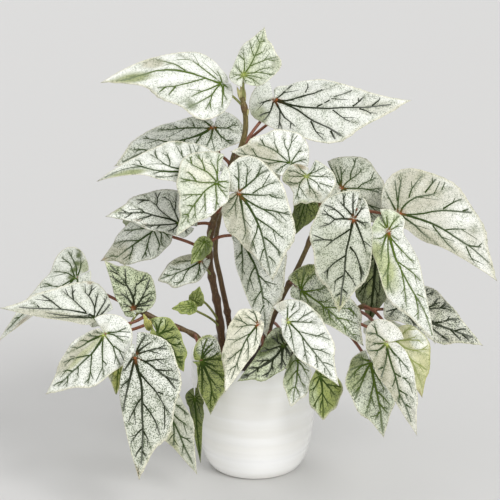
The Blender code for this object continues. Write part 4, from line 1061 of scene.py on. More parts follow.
# Colour of each leaf: main tone, second tone and its share; tone and width of the veins; speckles;
# tone of the margin and of the joint; and washes of (tone, x, y, their spans, strength), with the
# place and the spans in hundredths of the midrib on the flat blade
# The warm grey washes are painted shade on halves and lobes turned from the light, and so are the
# olive, lime and mint washes that cover such a half, as on the knob, the tongue and the pot front
LOOKS = {
    "leaf_top": (
        "white", "mint", 0.4, "leafy", 1.0, 0.25, "cream", "lime",
        (("mint", 5, 45, 8, 50, 0.6), ("lime", 2, 2, 9, 10, 0.7), ("grey", 50, 45, 14, 18, 0.6))),
    "leaf_top_left": (
        "white", "silver", 0.25, "leafy", 1.0, 0.2, "cream", "leafy",
        (("olive", -5, 80, 6, 26, 0.85), ("sand", 6, 58, 6, 12, 0.8),
         ("deep", -28, 27, 5, 6, 0.8))),
    "leaf_top_right": (
        "white", "silver", 0.4, "ink", 1.15, 0.35, "cream", "rust",
        (("olive", 13, -12, 11, 9, 0.6), ("sand", 4, 78, 7, 20, 0.4))),
    "leaf_upper_left": (
        "silver", "white", 0.35, "pine", 1.3, 0.8, "cream", "rust",
        (("white", 5, -10, 26, 14, 0.4),)),
    "leaf_left_hook": (
        "white", "silver", 0.2, "pine", 1.05, 0.2, "cream", "leafy",
        (("olive", -5, 74, 6, 30, 0.85), ("deep", 35, 9, 6, 6, 0.8))),
    "leaf_front_green": (
        "white", "mint", 0.3, "leafy", 1.2, 0.2, "cream", "leafy",
        (("cream", 30, 0, 30, 25, 0.5), ("brown", -7, 83, 3, 3, 0.7))),
    "leaf_left_spotted": (
        "silver", "white", 0.6, "ink", 1.3, 0.6, "sand", "leafy",
        (("white", 25, 8, 30, 34, 0.9), ("rust", -7, 58, 3, 4, 0.5), ("rust", -12, 48, 3, 4, 0.5),
         ("olive", 10, 88, 8, 14, 0.6))),
    "leaf_left_lower": (
        "silver", "white", 0.6, "pine", 1.25, 0.5, "sand", "leafy",
        (("sand", -8, 75, 26, 30, 0.8), ("brown", -1, 95, 5, 7, 0.8))),
    "leaf_upper_mid": (
        "white", "silver", 0.3, "pine", 1.1, 0.25, "cream", "leafy",
        (("sand", 0, 55, 30, 48, 0.85),)),
    "leaf_front_heart": (
        "white", "silver", 0.6, "pine", 1.3, 0.45, "cream", "rust",
        (("sand", 14, 18, 16, 62, 0.75),)),
    "leaf_front_long": (
        "white", "silver", 0.4, "pine", 1.3, 0.6, "cream", "leafy",
        (("grey", 0, 42, 10, 44, 0.4),)),
    "leaf_small_left": (
        "silver", "white", 0.4, "pine", 1.25, 0.5, "sand", "rust",
        (("sand", 22, 32, 13, 38, 0.8), ("white", -26, 6, 18, 14, 0.7))),
    "leaf_folded": (
        "lime", "mint", 0.4, "leafy", 0.8, 0.0, "lime", "leafy",
        (("deep", -22, 40, 18, 50, 0.9),)),
    "leaf_young": ("lime", "mint", 0.2, "leafy", 0.7, 0.0, "lime", "leafy", ()),
    "leaf_young_low": ("lime", "olive", 0.2, "leafy", 0.7, 0.0, "lime", "leafy", ()),
    # On the knob, the warm grey washes, the olive one at 58, 24 and the brown one at 30, -22 are
    # painted shade
    "leaf_knob": (
        "silver", "white", 0.3, "pine", 1.2, 0.35, "cream", "lime",
        (("white", -60, -10, 48, 48, 0.85), ("sand", -40, 42, 36, 20, 0.7),
         ("sand", 32, 18, 42, 38, 0.8), ("olive", 58, 24, 16, 24, 0.5),
         ("olive", -35, 80, 34, 14, 0.7), ("brown", 30, -22, 34, 12, 0.8))),
    "leaf_olive": (
        "olive", "deep", 0.6, "pine", 1.0, 0.3, "olive", "leafy",
        (("lime", -28, 12, 18, 14, 0.4),)),
    "leaf_right_back": ("silver", "sand", 0.3, "pine", 1.3, 0.7, "sand", "rust", ()),
    "leaf_centre_spotted": (
        "silver", "grey", 0.4, "ink", 1.35, 0.6, "cream", "rust",
        (("white", 10, -8, 32, 22, 0.7), ("gold", 0, 95, 7, 14, 0.6))),
    "leaf_right_big": (
        "white", "sand", 0.36, "pine", 1.2, 0.35, "cream", "rust",
        (("sand", -24, 0, 34, 30, 0.7), ("sand", 8, 32, 10, 62, 0.75))),
    # The lime wash on the tongue's half turned from the light is painted shade
    "leaf_right_tongue": (
        "white", "silver", 0.3, "leafy", 1.1, 0.3, "cream", "rust",
        (("lime", 17, 24, 13, 28, 0.7), ("mint", 0, -10, 22, 10, 0.7))),
    "leaf_mid_small": (
        "white", "mint", 0.4, "leafy", 1.3, 0.9, "cream", "leafy",
        (("lime", -20, -12, 26, 14, 0.85), ("olive", 6, 45, 7, 40, 0.5),
         ("white", -20, 72, 14, 20, 0.4))),
    "leaf_front_white": (
        "white", "silver", 0.1, "pine", 1.05, 0.12, "cream", "lime",
        (("sand", -6, -20, 9, 8, 0.6), ("olive", -35, 14, 4, 16, 0.5))),
    "leaf_front_left_white": (
        "white", "cream", 0.6, "pine", 1.0, 0.15, "cream", "rust",
        (("sand", 20, 35, 18, 50, 0.5), ("deep", 24, 58, 4, 6, 0.8))),
    "leaf_front_dark": (
        "silver", "mint", 0.5, "ink", 2.0, 0.7, "olive", "leafy",
        (("deep", 14, 22, 16, 32, 0.85), ("deep", 10, -8, 20, 10, 0.6))),
    "leaf_inner_shade": (
        "deep", "grey", 0.3, "ink", 1.3, 0.7, "olive", "leafy",
        (("lime", 5, 40, 6, 26, 0.3),)),
    "leaf_right_low": ("silver", "sand", 0.35, "ink", 1.9, 0.95, "cream", "rust", ()),
    # The mint wash on the half turned from the light is painted shade
    "leaf_pot_front": (
        "white", "silver", 0.25, "leafy", 1.3, 0.2, "cream", "leafy",
        (("mint", 12, 38, 14, 66, 0.9), ("deep", 13, 4, 5, 16, 0.8),
         ("deep", 20, 30, 3, 12, 0.5))),
    "leaf_pot_right": (
        "lime", "olive", 0.5, "pine", 1.5, 0.4, "cream", "leafy",
        (("mint", 17, 58, 13, 55, 0.9),)),
    "leaf_right_front": (
        "white", "sand", 0.32, "pine", 1.25, 0.35, "cream", "lime",
        (("sand", 13, 20, 18, 60, 0.9),)),
    "leaf_right_yellow": (
        "cream", "gold", 0.45, "olive", 1.3, 0.15, "gold", "leafy",
        (("white", -34, 16, 17, 22, 0.85), ("brown", 1, 92, 3, 8, 0.7))),
    "leaf_right_hanging": (
        "white", "mint", 0.45, "leafy", 1.6, 0.8, "cream", "leafy",
        (("lime", 28, 16, 14, 26, 0.6), ("olive", 22, -6, 22, 12, 0.7),
         ("rust", 10, 85, 4, 5, 0.35))),
    "leaf_left_white": (
        "white", "silver", 0.6, "ink", 1.2, 0.3, "cream", "leafy",
        (("sand", -3, 45, 9, 58, 0.75), ("brown", 46, 13, 4, 8, 0.85))),
    "leaf_left_far": (
        "silver", "white", 0.4, "pine", 1.1, 0.3, "cream", "leafy",
        (("brown", -3, 68, 3, 10, 0.7), ("olive", 7, -13, 10, 8, 0.6), ("deep", 4, 5, 5, 4, 0.95),
         ("deep", 10, -2, 5, 5, 0.95), ("deep", 16, -9, 5, 5, 0.95), ("deep", 23, -15, 5, 4, 0.95),
         ("deep", 29, -19, 5, 3, 0.95))),
    "leaf_left_round": (
        "silver", "mint", 0.7, "ink", 1.6, 0.95, "sand", "rust",
        (("cream", 2, 95, 6, 6, 0.6),)),
    "leaf_left_front_big": (
        "silver", "white", 0.3, "ink", 1.3, 0.9, "cream", "rust",
        (("rust", -1, 96, 4, 5, 0.8), ("olive", -31, -8, 5, 9, 0.4),
         ("grey", -4, 62, 34, 44, 0.28))),
    "leaf_left_front": (
        "white", "silver", 0.25, "pine", 1.25, 0.2, "cream", "lime",
        (("sand", 7, 36, 12, 52, 0.8), ("lime", 0, 30, 5, 40, 0.35))),
    "leaf_left_green": (
        "olive", "lime", 0.35, "pine", 1.9, 0.6, "lime", "leafy",
        (("mint", -28, 44, 12, 14, 0.6), ("mint", -18, -22, 15, 14, 0.8),
         ("deep", -8, 82, 9, 12, 0.6))),
    "leaf_left_under": (
        "silver", "sand", 0.3, "pine", 1.3, 0.3, "cream", "leafy",
        (("gold", 12, 52, 7, 22, 0.4),)),
    "leaf_left_tip": (
        "lime", "yellow", 0.4, "leafy", 1.0, 0.0, "cream", "leafy",
        (("brown", 0, 98, 4, 5, 0.9), ("white", 16, 60, 8, 12, 0.5))),
    "leaf_yellow_bud": ("yellow", "lime", 0.2, "gold", 0.8, 0.0, "yellow", "leafy", ()),
    "leaf_pot_left_dark": ("deep", "olive", 0.4, "pine", 1.0, 0.3, "olive", "leafy", ()),
    "leaf_pot_left_green": (
        "lime", "olive", 0.6, "pine", 1.7, 0.9, "cream", "leafy",
        (("white", -20, -22, 28, 20, 0.9), ("deep", 4, 84, 12, 14, 0.4))),
    "leaf_back_upper": ("white", "silver", 0.4, "pine", 1.2, 0.25, "cream", "rust", ()),
    "leaf_back_middle": ("silver", "grey", 0.4, "ink", 1.4, 0.6, "cream", "rust", ()),
    "leaf_back_top_left": ("silver", "mint", 0.4, "pine", 1.3, 0.4, "cream", "leafy", ()),
    "leaf_back_left": ("grey", "silver", 0.4, "ink", 1.4, 0.7, "olive", "leafy", ()),
    "leaf_back_right": ("white", "silver", 0.3, "pine", 1.2, 0.3, "cream", "rust", ()),
    "leaf_back_pot": ("mint", "silver", 0.4, "pine", 1.2, 0.3, "cream", "leafy", ()),
    "leaf_back_low_right": ("silver", "white", 0.4, "ink", 1.4, 0.4, "cream", "rust", ()),
}

# Slot of each leaf that isn't silver
LEAF_SLOTS = {name: slot for slot, names in {
    "leaf_green": ("leaf_top", "leaf_front_green", "leaf_mid_small", "leaf_right_tongue",
                   "leaf_pot_front", "leaf_right_hanging", "leaf_left_under"),
    "leaf_dark": ("leaf_front_dark", "leaf_olive", "leaf_inner_shade", "leaf_right_low",
                  "leaf_pot_left_dark"),
    "leaf_young": ("leaf_left_green", "leaf_folded", "leaf_young", "leaf_young_low",
                   "leaf_pot_right", "leaf_pot_left_green", "leaf_left_tip"),
    "leaf_yellow": ("leaf_right_yellow", "leaf_yellow_bud"),
}.items() for name in names}

# Paint of each slot's blades: tone of the speckles, veinlets, mottling and roughness
LEAF_SKINS = {
    "leaf_silver": ("pine", 0.5, 0.2, 0.40),
    "leaf_green": ("pine", 0.6, 0.3, 0.42),
    "leaf_dark": ("ink", 0.7, 0.5, 0.38),
    "leaf_young": ("pine", 0.6, 0.45, 0.40),
    "leaf_yellow": ("leafy", 0.4, 0.3, 0.45),
}

# Stalks that are green, not red-brown
GREEN_STALKS = ("leaf_top", "leaf_top_left", "leaf_young", "leaf_young_low", "leaf_yellow_bud",
                "leaf_left_hook", "leaf_front_green", "leaf_pot_left_dark")

# Papery scales at the top of a cane: tip, root and half width
SCALE_STEPS = 6
SCALE_SIDES = 8
SCALE_ROOT = 0.16
SCALE_THICKNESS = 0.35
SCALE_FACING = Vector((0, 1, 0.3))
SCALES = {
    "cane_main": (((-13, -13, 377), (-10, -11, 358), 2.6), ((-17, -12, 372), (-11, -11, 356), 2.2),
                  ((-6, -13, 352), (-10, -11, 343), 2.0)),
}

# Pot: the outline that is turned, as radius and height, the steps between its points, and where
# and how closely the throwing rings run; and the clouds in the glaze
POT_OUTLINE = ((0.0, 0.0), (20.0, 0.0), (39.5, 0.0), (41.0, 0.1), (43.6, 0.7), (45.8, 2.8),
               (49.4, 9.0), (52.6, 20.0), (55.0, 31.0), (57.2, 48.0), (59.8, 66.0), (61.5, 84.0),
               (62.0, 104.0), (61.8, 113.2), (60.9, 115.4), (59.3, 116.0), (57.9, 115.0),
               (57.2, 112.0), (57.0, 96.0), (55.0, 68.0), (50.2, 34.0), (44.0, 12.0), (38.0, 7.0),
               (20.0, 6.5), (0.0, 6.5))
POT_STEPS = 8
RINGED_RADIUS = 52
RINGED_HEIGHTS = (20, 108)
RING_WAVE = 0.55
RING_SWELL = 0.11
GLAZE_SCALE = 13.0
GLAZE_STRETCH = (0.5, 0.5, 5.0)

# Soil: its outline from the foot up the pot's wall, its rise to the middle, the scale and height
# of its large and small lumps, its crumbs, and the grit all over it
SOIL_WALL = ((0.0, 7.0), (37.5, 7.5), (43.5, 12.5), (49.7, 34.0), (54.5, 68.0), (56.5, 96.0))
SOIL_RADIUS = 56.5
SOIL_EDGE = 100.0
SOIL_RISE = 3.5
SOIL_ROWS = 26
SOIL_SIDES = 96
LUMPS = ((260, 1.1), (620, 0.7))
LUMP_SINK = 0.9
CRUMB_SIZES = (0.5, 1.5)
CRUMB_WIDTHS = (0.6, 1)
CRUMB_HEIGHTS = (0.5, 0.9)
CRUMB_SINK = 0.4
CRUMB_TURN = 3
CRUMB_SPREAD = 0.9
PALE_SHARE = 0.14
PALE_CRUMB = (0.6, 0.58, 0.52)
BROWN_CRUMB = (0.16, 0.10, 0.06)
GRIT_SCALE = 900.0
GRIT_SPAN = (0.35, 0.65)
GRIT_TONE = (0.4, 0.38, 0.36)
GRIT_RELIEF = 0.001

# Stage: half the floor's width and how far the camera sees, in metres; then each light's name,
# direction, softness in degrees, share of the key's power and colour
FLOOR_SIZE = 30.0
FARTHEST = 100.0
LIGHTS = (
    ("Key", (1.3, -1.4, 1.7), 28.0, 1.0, (0.98, 0.98, 1.0)),
    ("Fill", (-1.7, -1.2, 0.9), 40.0, 0.1, (1.0, 0.96, 0.90)),
    ("Front", (0.3, -2.0, 0.45), 40.0, 0.37, (1.0, 0.99, 0.96)),
    ("Back", (-0.4, 1.8, 1.4), 40.0, 0.25, (1.0, 1.0, 1.0)),
)

# Sockets of a colour Mix node
MIX_FACTOR = 0
MIX_FIRST = 6
MIX_SECOND = 7
MIX_RESULT = 2


def tone(name, text, default):
    """Describe a colour that a user can change."""
    return bpy.props.FloatVectorProperty(name=name, description=text, subtype="COLOR", size=3,
                                         min=0.0, max=1.0, default=default)


def length(name, text, default):
    """Describe a length that a user can change."""
    return bpy.props.FloatProperty(name=name, description=text, unit="LENGTH", default=default)


class BegoniaLeafSettings(bpy.types.PropertyGroup):
    """Colours and sizes of the leaves."""

    white: tone("White", "Brightest silver of a blade", (0.88, 0.89, 0.835))
    silver: tone("Silver", "Plain silver of a blade", (0.685, 0.71, 0.62))
    # Painted shade: the warm grey laid on halves and lobes of a blade that are turned from the
    # light
    sand: tone("Sand", "Warm grey of halves turned from the light", (0.47, 0.45, 0.33))
    grey: tone("Grey", "Shaded silver between speckles", (0.43, 0.45, 0.32))
    mint: tone("Mint", "Silver with green under it", (0.56, 0.63, 0.37))
    lime: tone("Lime", "Yellow-green of thin and curled parts", (0.40, 0.46, 0.12))
    # Olive of the leaf and of the glow round its veins; on lobes turned from the light it is
    # painted shade
    olive: tone("Olive", "Olive green of turned lobes", (0.27, 0.31, 0.10))
    deep: tone("Deep green", "Green of leaves in the plant's shade", (0.085, 0.12, 0.024))
    cream: tone("Cream", "Pale margins and old leaves", (0.84, 0.81, 0.62))
    yellow: tone("Yellow", "Leaves that turn yellow", (0.80, 0.74, 0.24))
    # Brown of dried tips and spots; low on the knob it is painted shade
    brown: tone("Brown", "Dried tips and spots", (0.26, 0.16, 0.06))
    ink: tone("Ink veins", "Near-black green of strong veins", (0.014, 0.021, 0.006))
    pine: tone("Pine veins", "Dark green of most veins", (0.031, 0.056, 0.009))
    leafy: tone("Leafy veins", "Fresh green of young veins", (0.075, 0.12, 0.014))
    rust: tone("Rust", "Orange-brown joint of blade and stalk", (0.26, 0.085, 0.03))
    underside: tone("Underside", "Pale green back of a blade", (0.42, 0.50, 0.30))
    thickness: length("Thickness", "Thickness of a blade", 0.00045)
    vein_width: length("Vein width", "Width of a midrib at its joint on a 100 mm blade", 0.0025)
    vein_height: length("Vein height", "How far a vein stands out of the blade", 0.00022)
    columns: bpy.props.IntProperty(name="Columns", description="Faces round a blade's fan",
                                   default=96, min=32)
    rows: bpy.props.IntProperty(name="Rows", default=14, min=4,
                                description="Faces from a blade's joint to its margin")
    fringe: bpy.props.FloatProperty(name="Fringe", description="Depth of the small teeth, as a "
                                    "share of the blade's reach", default=0.017, min=0.0)


class BegoniaCaneSettings(bpy.types.PropertyGroup):
    """Colours of the canes and stalks."""

    bark: tone("Bark", "Brown skin of a cane", (0.13, 0.060, 0.022))
    green: tone("Green skin", "Green of a cane's young stretches", (0.19, 0.155, 0.045))
    stalk: tone("Stalk", "Red-brown leaf stalks", (0.27, 0.095, 0.045))
    stalk_green: tone("Stalk green", "Green of young leaf stalks", (0.30, 0.33, 0.10))
    scale: tone("Scale", "Pale papery scales at the top nodes", (0.62, 0.60, 0.28))


class BegoniaPotSettings(bpy.types.PropertyGroup):
    """Colours and sizes of the pot and its soil."""

    glaze: tone("Glaze", "White glaze", (0.94, 0.94, 0.93))
    glaze_warm: tone("Warm glaze", "Cream where the glaze runs thin", (0.88, 0.87, 0.83))
    earth: tone("Soil", "Dark potting soil", (0.045, 0.030, 0.020))
    steps: bpy.props.IntProperty(name="Steps", description="Faces round the pot", default=128,
                                 min=24)
    ring_depth: length("Ring depth", "Depth of the throwing rings", 0.00022)
    crumbs: bpy.props.IntProperty(name="Crumbs", description="Loose crumbs on the soil",
                                  default=170, min=0)


class BegoniaStageSettings(bpy.types.PropertyGroup):
    """Floor, light and camera."""

    floor: tone("Floor", "Pale floor", (0.60, 0.595, 0.58))
    sky: tone("Surroundings", "Soft light from all around", (0.98, 0.985, 1.0))
    sky_strength: bpy.props.FloatProperty(name="Surroundings strength", default=0.70,
                                          description="Strength of the light from all around")
    key_power: bpy.props.FloatProperty(name="Key power", default=1.6,
                                       description="Power of the large soft light")
    camera_place: bpy.props.FloatVectorProperty(name="Camera place", subtype="TRANSLATION",
                                                description="Where the camera stands",
                                                default=(-0.005, -1.181, 0.543))
    camera_pitch: bpy.props.FloatProperty(name="Camera pitch", subtype="ANGLE",
                                          description="How far the camera looks down",
                                          default=math.radians(15.5))
    camera_lens: bpy.props.FloatProperty(name="Camera lens", description="Focal length in mm on "
                                         "a 36 mm sensor", default=93.6)


def margin(reaches, share):
    """Read the margin's reach between the veins: a smooth curve through the log of each reach."""
    knots = [0.0] + [math.log(reach) for reach in reaches]
    slopes = [(knots[1] - knots[0]) * TIP_SHARPNESS]
    slopes += [(knots[index + 1] - knots[index - 1]) / 2 for index in (1, 2, 3)]
    slopes.append(knots[4] - knots[3])
    place = share * 4
    index = min(3, int(place))
    t = place - index
    return math.exp((2 * t ** 3 - 3 * t ** 2 + 1) * knots[index]
                    + (t ** 3 - 2 * t ** 2 + t) * slopes[index]
                    + (3 * t ** 2 - 2 * t ** 3) * knots[index + 1]
                    + (t ** 3 - t ** 2) * slopes[index + 1])


def flat_point(leaf, sweep, reach):
    """Find a point of the blade laid flat from its sweep and reach."""
    right, left, (turn, *_) = leaf
    offset = sweep * 2 - 1
    share = abs(offset)
    side = 1 if offset > 0 else -1
    spread = VEIN_SPREAD * share + (1 - VEIN_SPREAD) * share * share
    angle = math.radians((NOTCH_ANGLE - turn * side) * spread)
    tooth = math.cos(sweep * PLEATS * math.pi)
    radius = margin(right if offset > 0 else left, share) * reach
    radius *= 1 + TOOTH * (tooth - 1) * min(1, share * TOOTH_START) * reach
    return radius * math.sin(angle) * side, radius * math.cos(angle)


def fan_place(leaf, across, along_midrib):
    """Turn a point of the flat blade into its sweep and reach."""
    right, left, (turn, *_) = leaf
    side = 1 if across > 0 else -1
    span = math.radians(NOTCH_ANGLE - turn * side)
    part = min(1.0, math.atan2(abs(across), along_midrib) / span)
    curve = 1 - VEIN_SPREAD
    share = (math.sqrt(VEIN_SPREAD ** 2 + 4 * curve * part) - VEIN_SPREAD) / (2 * curve)
    radius = margin(right if side > 0 else left, min(1.0, share))
    return 0.5 + side * share / 2, math.hypot(across, along_midrib) / radius


def blade_point(leaf, sweep, reach, phase):
    """Place a point of a blade of length 1, with its folds, pleats, ripples and droop."""
    _, _, (_, droop, fold, bow) = leaf
    across, length = flat_point(leaf, sweep, reach)
    offset = sweep * 2 - 1
    tooth = math.cos(sweep * PLEATS * math.pi)
    lift = fold * abs(across)
    lift -= PLEAT * tooth * reach * min(1, abs(offset) * PLEAT_START)
    lift += RIPPLE * reach ** 3 * math.sin(RIPPLE_WAVES * math.pi * offset + phase)
    if length > 0:
        across += bow * 4 * length * (1 - length)
    curl = math.radians(droop) * length * (1 if length > 0 else BACK_DROOP)
    if abs(curl) < STRAIGHT:
        return Vector((across, length, lift))
    return Vector((across, length * math.sin(curl) / curl + lift * math.sin(curl),
                   lift * math.cos(curl) - length * (1 - math.cos(curl)) / curl))


def blade_frame(leaf, joint, tip, facing, phase):
    """Find the matrix that lands a blade's joint and tip on their points, and the blade's size."""
    around, up = (math.radians(value) for value in facing)
    face = Vector((math.cos(up) * math.sin(around), -math.cos(up) * math.cos(around),
                   math.sin(up)))
    reach = Vector(tip) - Vector(joint)
    local_tip = blade_point(leaf, 0.5, 1.0, phase)
    local_tip.x = 0.0
    scale = reach.length / local_tip.length
    forward = reach.normalized()
    normal = (face - forward * face.dot(forward)).normalized()
    right = forward.cross(normal)
    slope = math.atan2(local_tip.z, local_tip.y)
    turn = Matrix.Rotation(-slope, 4, "X")
    axes = Matrix((right, forward, normal)).transposed().to_4x4()
    return Matrix.Translation(joint) @ axes @ turn @ Matrix.Scale(scale, 4), scale


def smooth_path(points, steps):
    """Sample a Catmull-Rom curve through points, steps per stretch."""
    corners = [Vector(point) for point in points]
    corners = [corners[0] * 2 - corners[1], *corners, corners[-1] * 2 - corners[-2]]
    found = []
    for a, b, c, d in zip(corners, corners[1:], corners[2:], corners[3:]):
        for step in range(steps):
            t = step / steps
            found.append(0.5 * (2 * b + (c - a) * t + (2 * a - 5 * b + 4 * c - d) * t * t
                                + (3 * b - a - 3 * c + d) * t ** 3))
    found.append(corners[-2])
    return found


def path_lengths(points):
    """Add up the length of a path at each of its points."""
    lengths = [0.0]
    for first, second in zip(points, points[1:]):
        lengths.append(lengths[-1] + (second - first).length)
    return lengths


def along(points, share):
    """Give the point and direction at a share of a path's length."""
    lengths = path_lengths(points)
    goal = share * lengths[-1]
    for index in range(1, len(points)):
        if lengths[index] >= goal:
            part = (goal - lengths[index - 1]) / (lengths[index] - lengths[index - 1])
            step = points[index] - points[index - 1]
            return points[index - 1] + step * part, step.normalized()
    return points[-1], (points[-1] - points[-2]).normalized()


def stalk_points(name, start, way, joint, place):
    """Bend a stalk from its cane to the back of the blade's joint."""
    normal = (place.to_3x3() @ Vector((0, 0, 1))).normalized()
    back = (place.to_3x3() @ Vector((0, -1, 0))).normalized()
    joint = Vector(joint)
    gap = (joint - start).length
    first = start + (way * STALK_CANE_PULL + (joint - start).normalized()) * gap * STALK_START_PULL
    most, share = STALK_END_PULL
    lift, lift_share = STALK_END_LIFT
    second = joint - normal * min(most, gap * share) + back * min(lift, gap * lift_share)
    if name in ROUTES:
        leave, arrive = ROUTES[name]
        first = start + Vector(leave)
        second = joint + Vector(arrive)
    found = []
    for step in range(STALK_STEPS + 1):
        t = step / STALK_STEPS
        found.append(start * (1 - t) ** 3 + first * (3 * t * (1 - t) ** 2)
                     + second * (3 * t * t * (1 - t)) + joint * t ** 3)
    return found


def new_piece(name, bm, materials):
    """Make an object at the origin from a bmesh, riding on the plant."""
    mesh = bpy.data.meshes.new(name)
    for face in bm.faces:
        face.smooth = True
    bm.to_mesh(mesh)
    bm.free()
    for mat in materials:
        mesh.materials.append(mat)
    obj = bpy.data.objects.new(name, mesh)
    bpy.context.scene.collection.objects.link(obj)
    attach(obj, "root")
    return obj


def skin_rings(bm, stations, sides, paint=None, material_index=0):
    """Skin rings of (centre, first half axis, second half axis) with a grid closed at its ends.

    The paint gives each ring's colour, which goes in the attribute named tint.
    """
    made = bmesh.ops.create_grid(bm, x_segments=sides, y_segments=len(stations) - 1, size=0.5)
    verts = made["verts"]
    tint = bm.verts.layers.float_color.get("tint")
    for vert in verts:
        turn = round((vert.co.x + 0.5) * sides) / sides * math.tau
        row = round((vert.co.y + 0.5) * (len(stations) - 1))
        centre, first, second = stations[row]
        vert.co = centre + first * math.cos(turn) + second * math.sin(turn)
        if tint is not None and paint:
            vert[tint] = (*paint[row], 1.0)
    faces = list({face for vert in verts for face in vert.link_faces})
    for face in faces:
        face.material_index = material_index
    bmesh.ops.remove_doubles(bm, verts=verts, dist=WELD)
    faces = [face for face in faces if face.is_valid]
    bmesh.ops.recalc_face_normals(bm, faces=faces)


def close_ends(rings):
    """Close both ends of a row of rings with a point."""
    none = Vector((0, 0, 0))
    return [(rings[0][0], none, none), *rings, (rings[-1][0], none, none)]


def lathe_ring(radius, height):
    """Give a level ring round the pot's axis in metres."""
    return (Vector((0, 0, height)) * MM, Vector((radius, 0, 0)) * MM,
            Vector((0, radius, 0)) * MM)


def tube_rings(points, radii):
    """Turn a path and its radii into rings in metres, closed at both ends."""
    rings = []
    side = None
    for index, point in enumerate(points):
        ahead = points[min(index + 1, len(points) - 1)] - points[max(index - 1, 0)]
        ahead.normalize()
        if side is None:
            side = ahead.orthogonal()
        side = (side - ahead * side.dot(ahead)).normalized()
        other = ahead.cross(side)
        rings.append((point * MM, side * radii[index] * MM, other * radii[index] * MM))
    return close_ends(rings)


def leaf_table():
    """Work out each blade's matrix and size, drawing the phase of its ripple in their order."""
    rng = random.Random(SEED)
    found = {}
    for name, (cane, share, joint, tip, facing, *leaf) in LEAVES.items():
        phase = rng.uniform(0, math.tau)
        place, scale = blade_frame(leaf, joint, tip, facing, phase)
        found[name] = Blade(cane, share, joint, leaf, phase, place, scale)
    return found


def march(leaf, x, y, heading, bend, limit):
    """Draw a vein on the flat blade from a point until it nears the margin."""
    points = [(x, y)]
    for _ in range(VEIN_STEPS):
        x += VEIN_STEP * math.sin(heading)
        y += VEIN_STEP * math.cos(heading)
        heading *= 1 - bend * VEIN_STEP
        if fan_place(leaf, x, y)[1] > limit:
            break
        points.append((x, y))
    return points


def fork(leaf, route, index, swing, limit):
    """Draw a vein that leaves another at one of its points, swung off by some degrees."""
    (x, y), (nx, ny) = route[index], route[index + 1]
    heading = math.atan2(nx - x, ny - y) + math.radians(swing)
    return march(leaf, x, y, heading, FORK_BEND, limit)


def joint_veins(leaf, rng, side, angles):
    """Lay out the veins from the joint on one side of the midrib, with their forks."""
    veins = []
    turn = leaf[2][0]
    opening = (NOTCH_ANGLE - turn * side) / NOTCH_ANGLE
    for angle, width in zip(angles, VEIN_WIDTHS):
        heading = math.radians((angle + rng.uniform(-VEIN_SWAY, VEIN_SWAY)) * opening) * side
        route = march(leaf, 0.0, 0.0, heading, VEIN_BEND, rng.uniform(*VEIN_ENDS))
        veins.append((route, width, VEIN_LAST_WIDTH))
        parts = [rng.uniform(*span) for span in FORK_SPANS]
        if len(route) < FORKED_LEAST:
            continue
        for part, swing in zip(parts, FORK_SWINGS):
            index = int(part * (len(route) - 1))
            branch = fork(leaf, route, index, swing * side, rng.uniform(*FORK_ENDS))
            if len(branch) >= FORK_LEAST:
                veins.append((branch, width * FORK_WIDTH, BRANCH_LAST_WIDTH))
    return veins


def midrib_veins(leaf, rng, side, starts, angle):
    """Lay out the branches of the midrib on one side, the long ones forked."""
    veins = []
    heading = math.radians(angle) * side
    for start in starts:
        start += rng.uniform(-BRANCH_SWAY, BRANCH_SWAY)
        branch = march(leaf, 0.0, start, heading, BRANCH_BEND, rng.uniform(*VEIN_ENDS))
        if len(branch) < VEIN_LEAST:
            continue
        veins.append((branch, BRANCH_WIDTH * (BRANCH_FULL - start), BRANCH_LAST_WIDTH))
        if len(branch) >= BRANCH_FORKED_LEAST:
            twig = fork(leaf, branch, len(branch) // 2, -BRANCH_FORK_SWING * side,
                        BRANCH_FORK_END)
            if len(twig) >= FORK_LEAST:
                veins.append((twig, *BRANCH_FORK_WIDTHS))
    return veins


def vein_routes(leaf, rng):
    """Lay out a leaf's veins by rule as (points, first width, last width), the midrib first."""
    right, left, _ = leaf
    midrib = [(0.0, MIDRIB_END * step / MIDRIB_STEPS) for step in range(MIDRIB_STEPS + 1)]
    veins = [(midrib, *MIDRIB_WIDTHS)]
    for side in (-1, 1):
        wide = (right[0] >= left[0]) == (side > 0)
        angles, starts, angle = HALVES[0 if wide else 1]
        veins += joint_veins(leaf, rng, side, angles)
        veins += midrib_veins(leaf, rng, side, starts, angle)
    return veins


def twigs(leaf, veins):
    """Fork twigs off the veins, each ending before it meets another."""
    found = []
    for order, (points, *_) in enumerate(veins[1:]):
        for turn, part in enumerate(TWIG_PARTS):
            side = 1 if (order + turn) % 2 else -1
            index = int(part * (len(points) - 1))
            route = fork(leaf, points, index, TWIG_SWING * side, TRACED_END)
            others = np.array([spot for other, *_ in veins + found if other is not points
                               for spot in other])
            gaps = [np.hypot(*(others - spot).T).min() for spot in route]
            free = next((step for step, gap in enumerate(gaps) if gap < TWIG_CLEAR), len(route))
            route = route[:min(free, round(TWIG_SPAN[1] / VEIN_STEP) + 1)]
            if (len(route) - 1) * VEIN_STEP >= TWIG_SPAN[0]:
                found.append((route, *TWIG_WIDTHS))
    return found


def read_veins():
    """Read the table of veins: for each leaf, the numbers of each line."""
    found = {}
    for block in VEINS.strip().split("\n\n"):
        name, *lines = block.split("\n")
        found[name] = [[int(word) / HUNDREDTHS for word in line.split()] for line in lines]
    return found


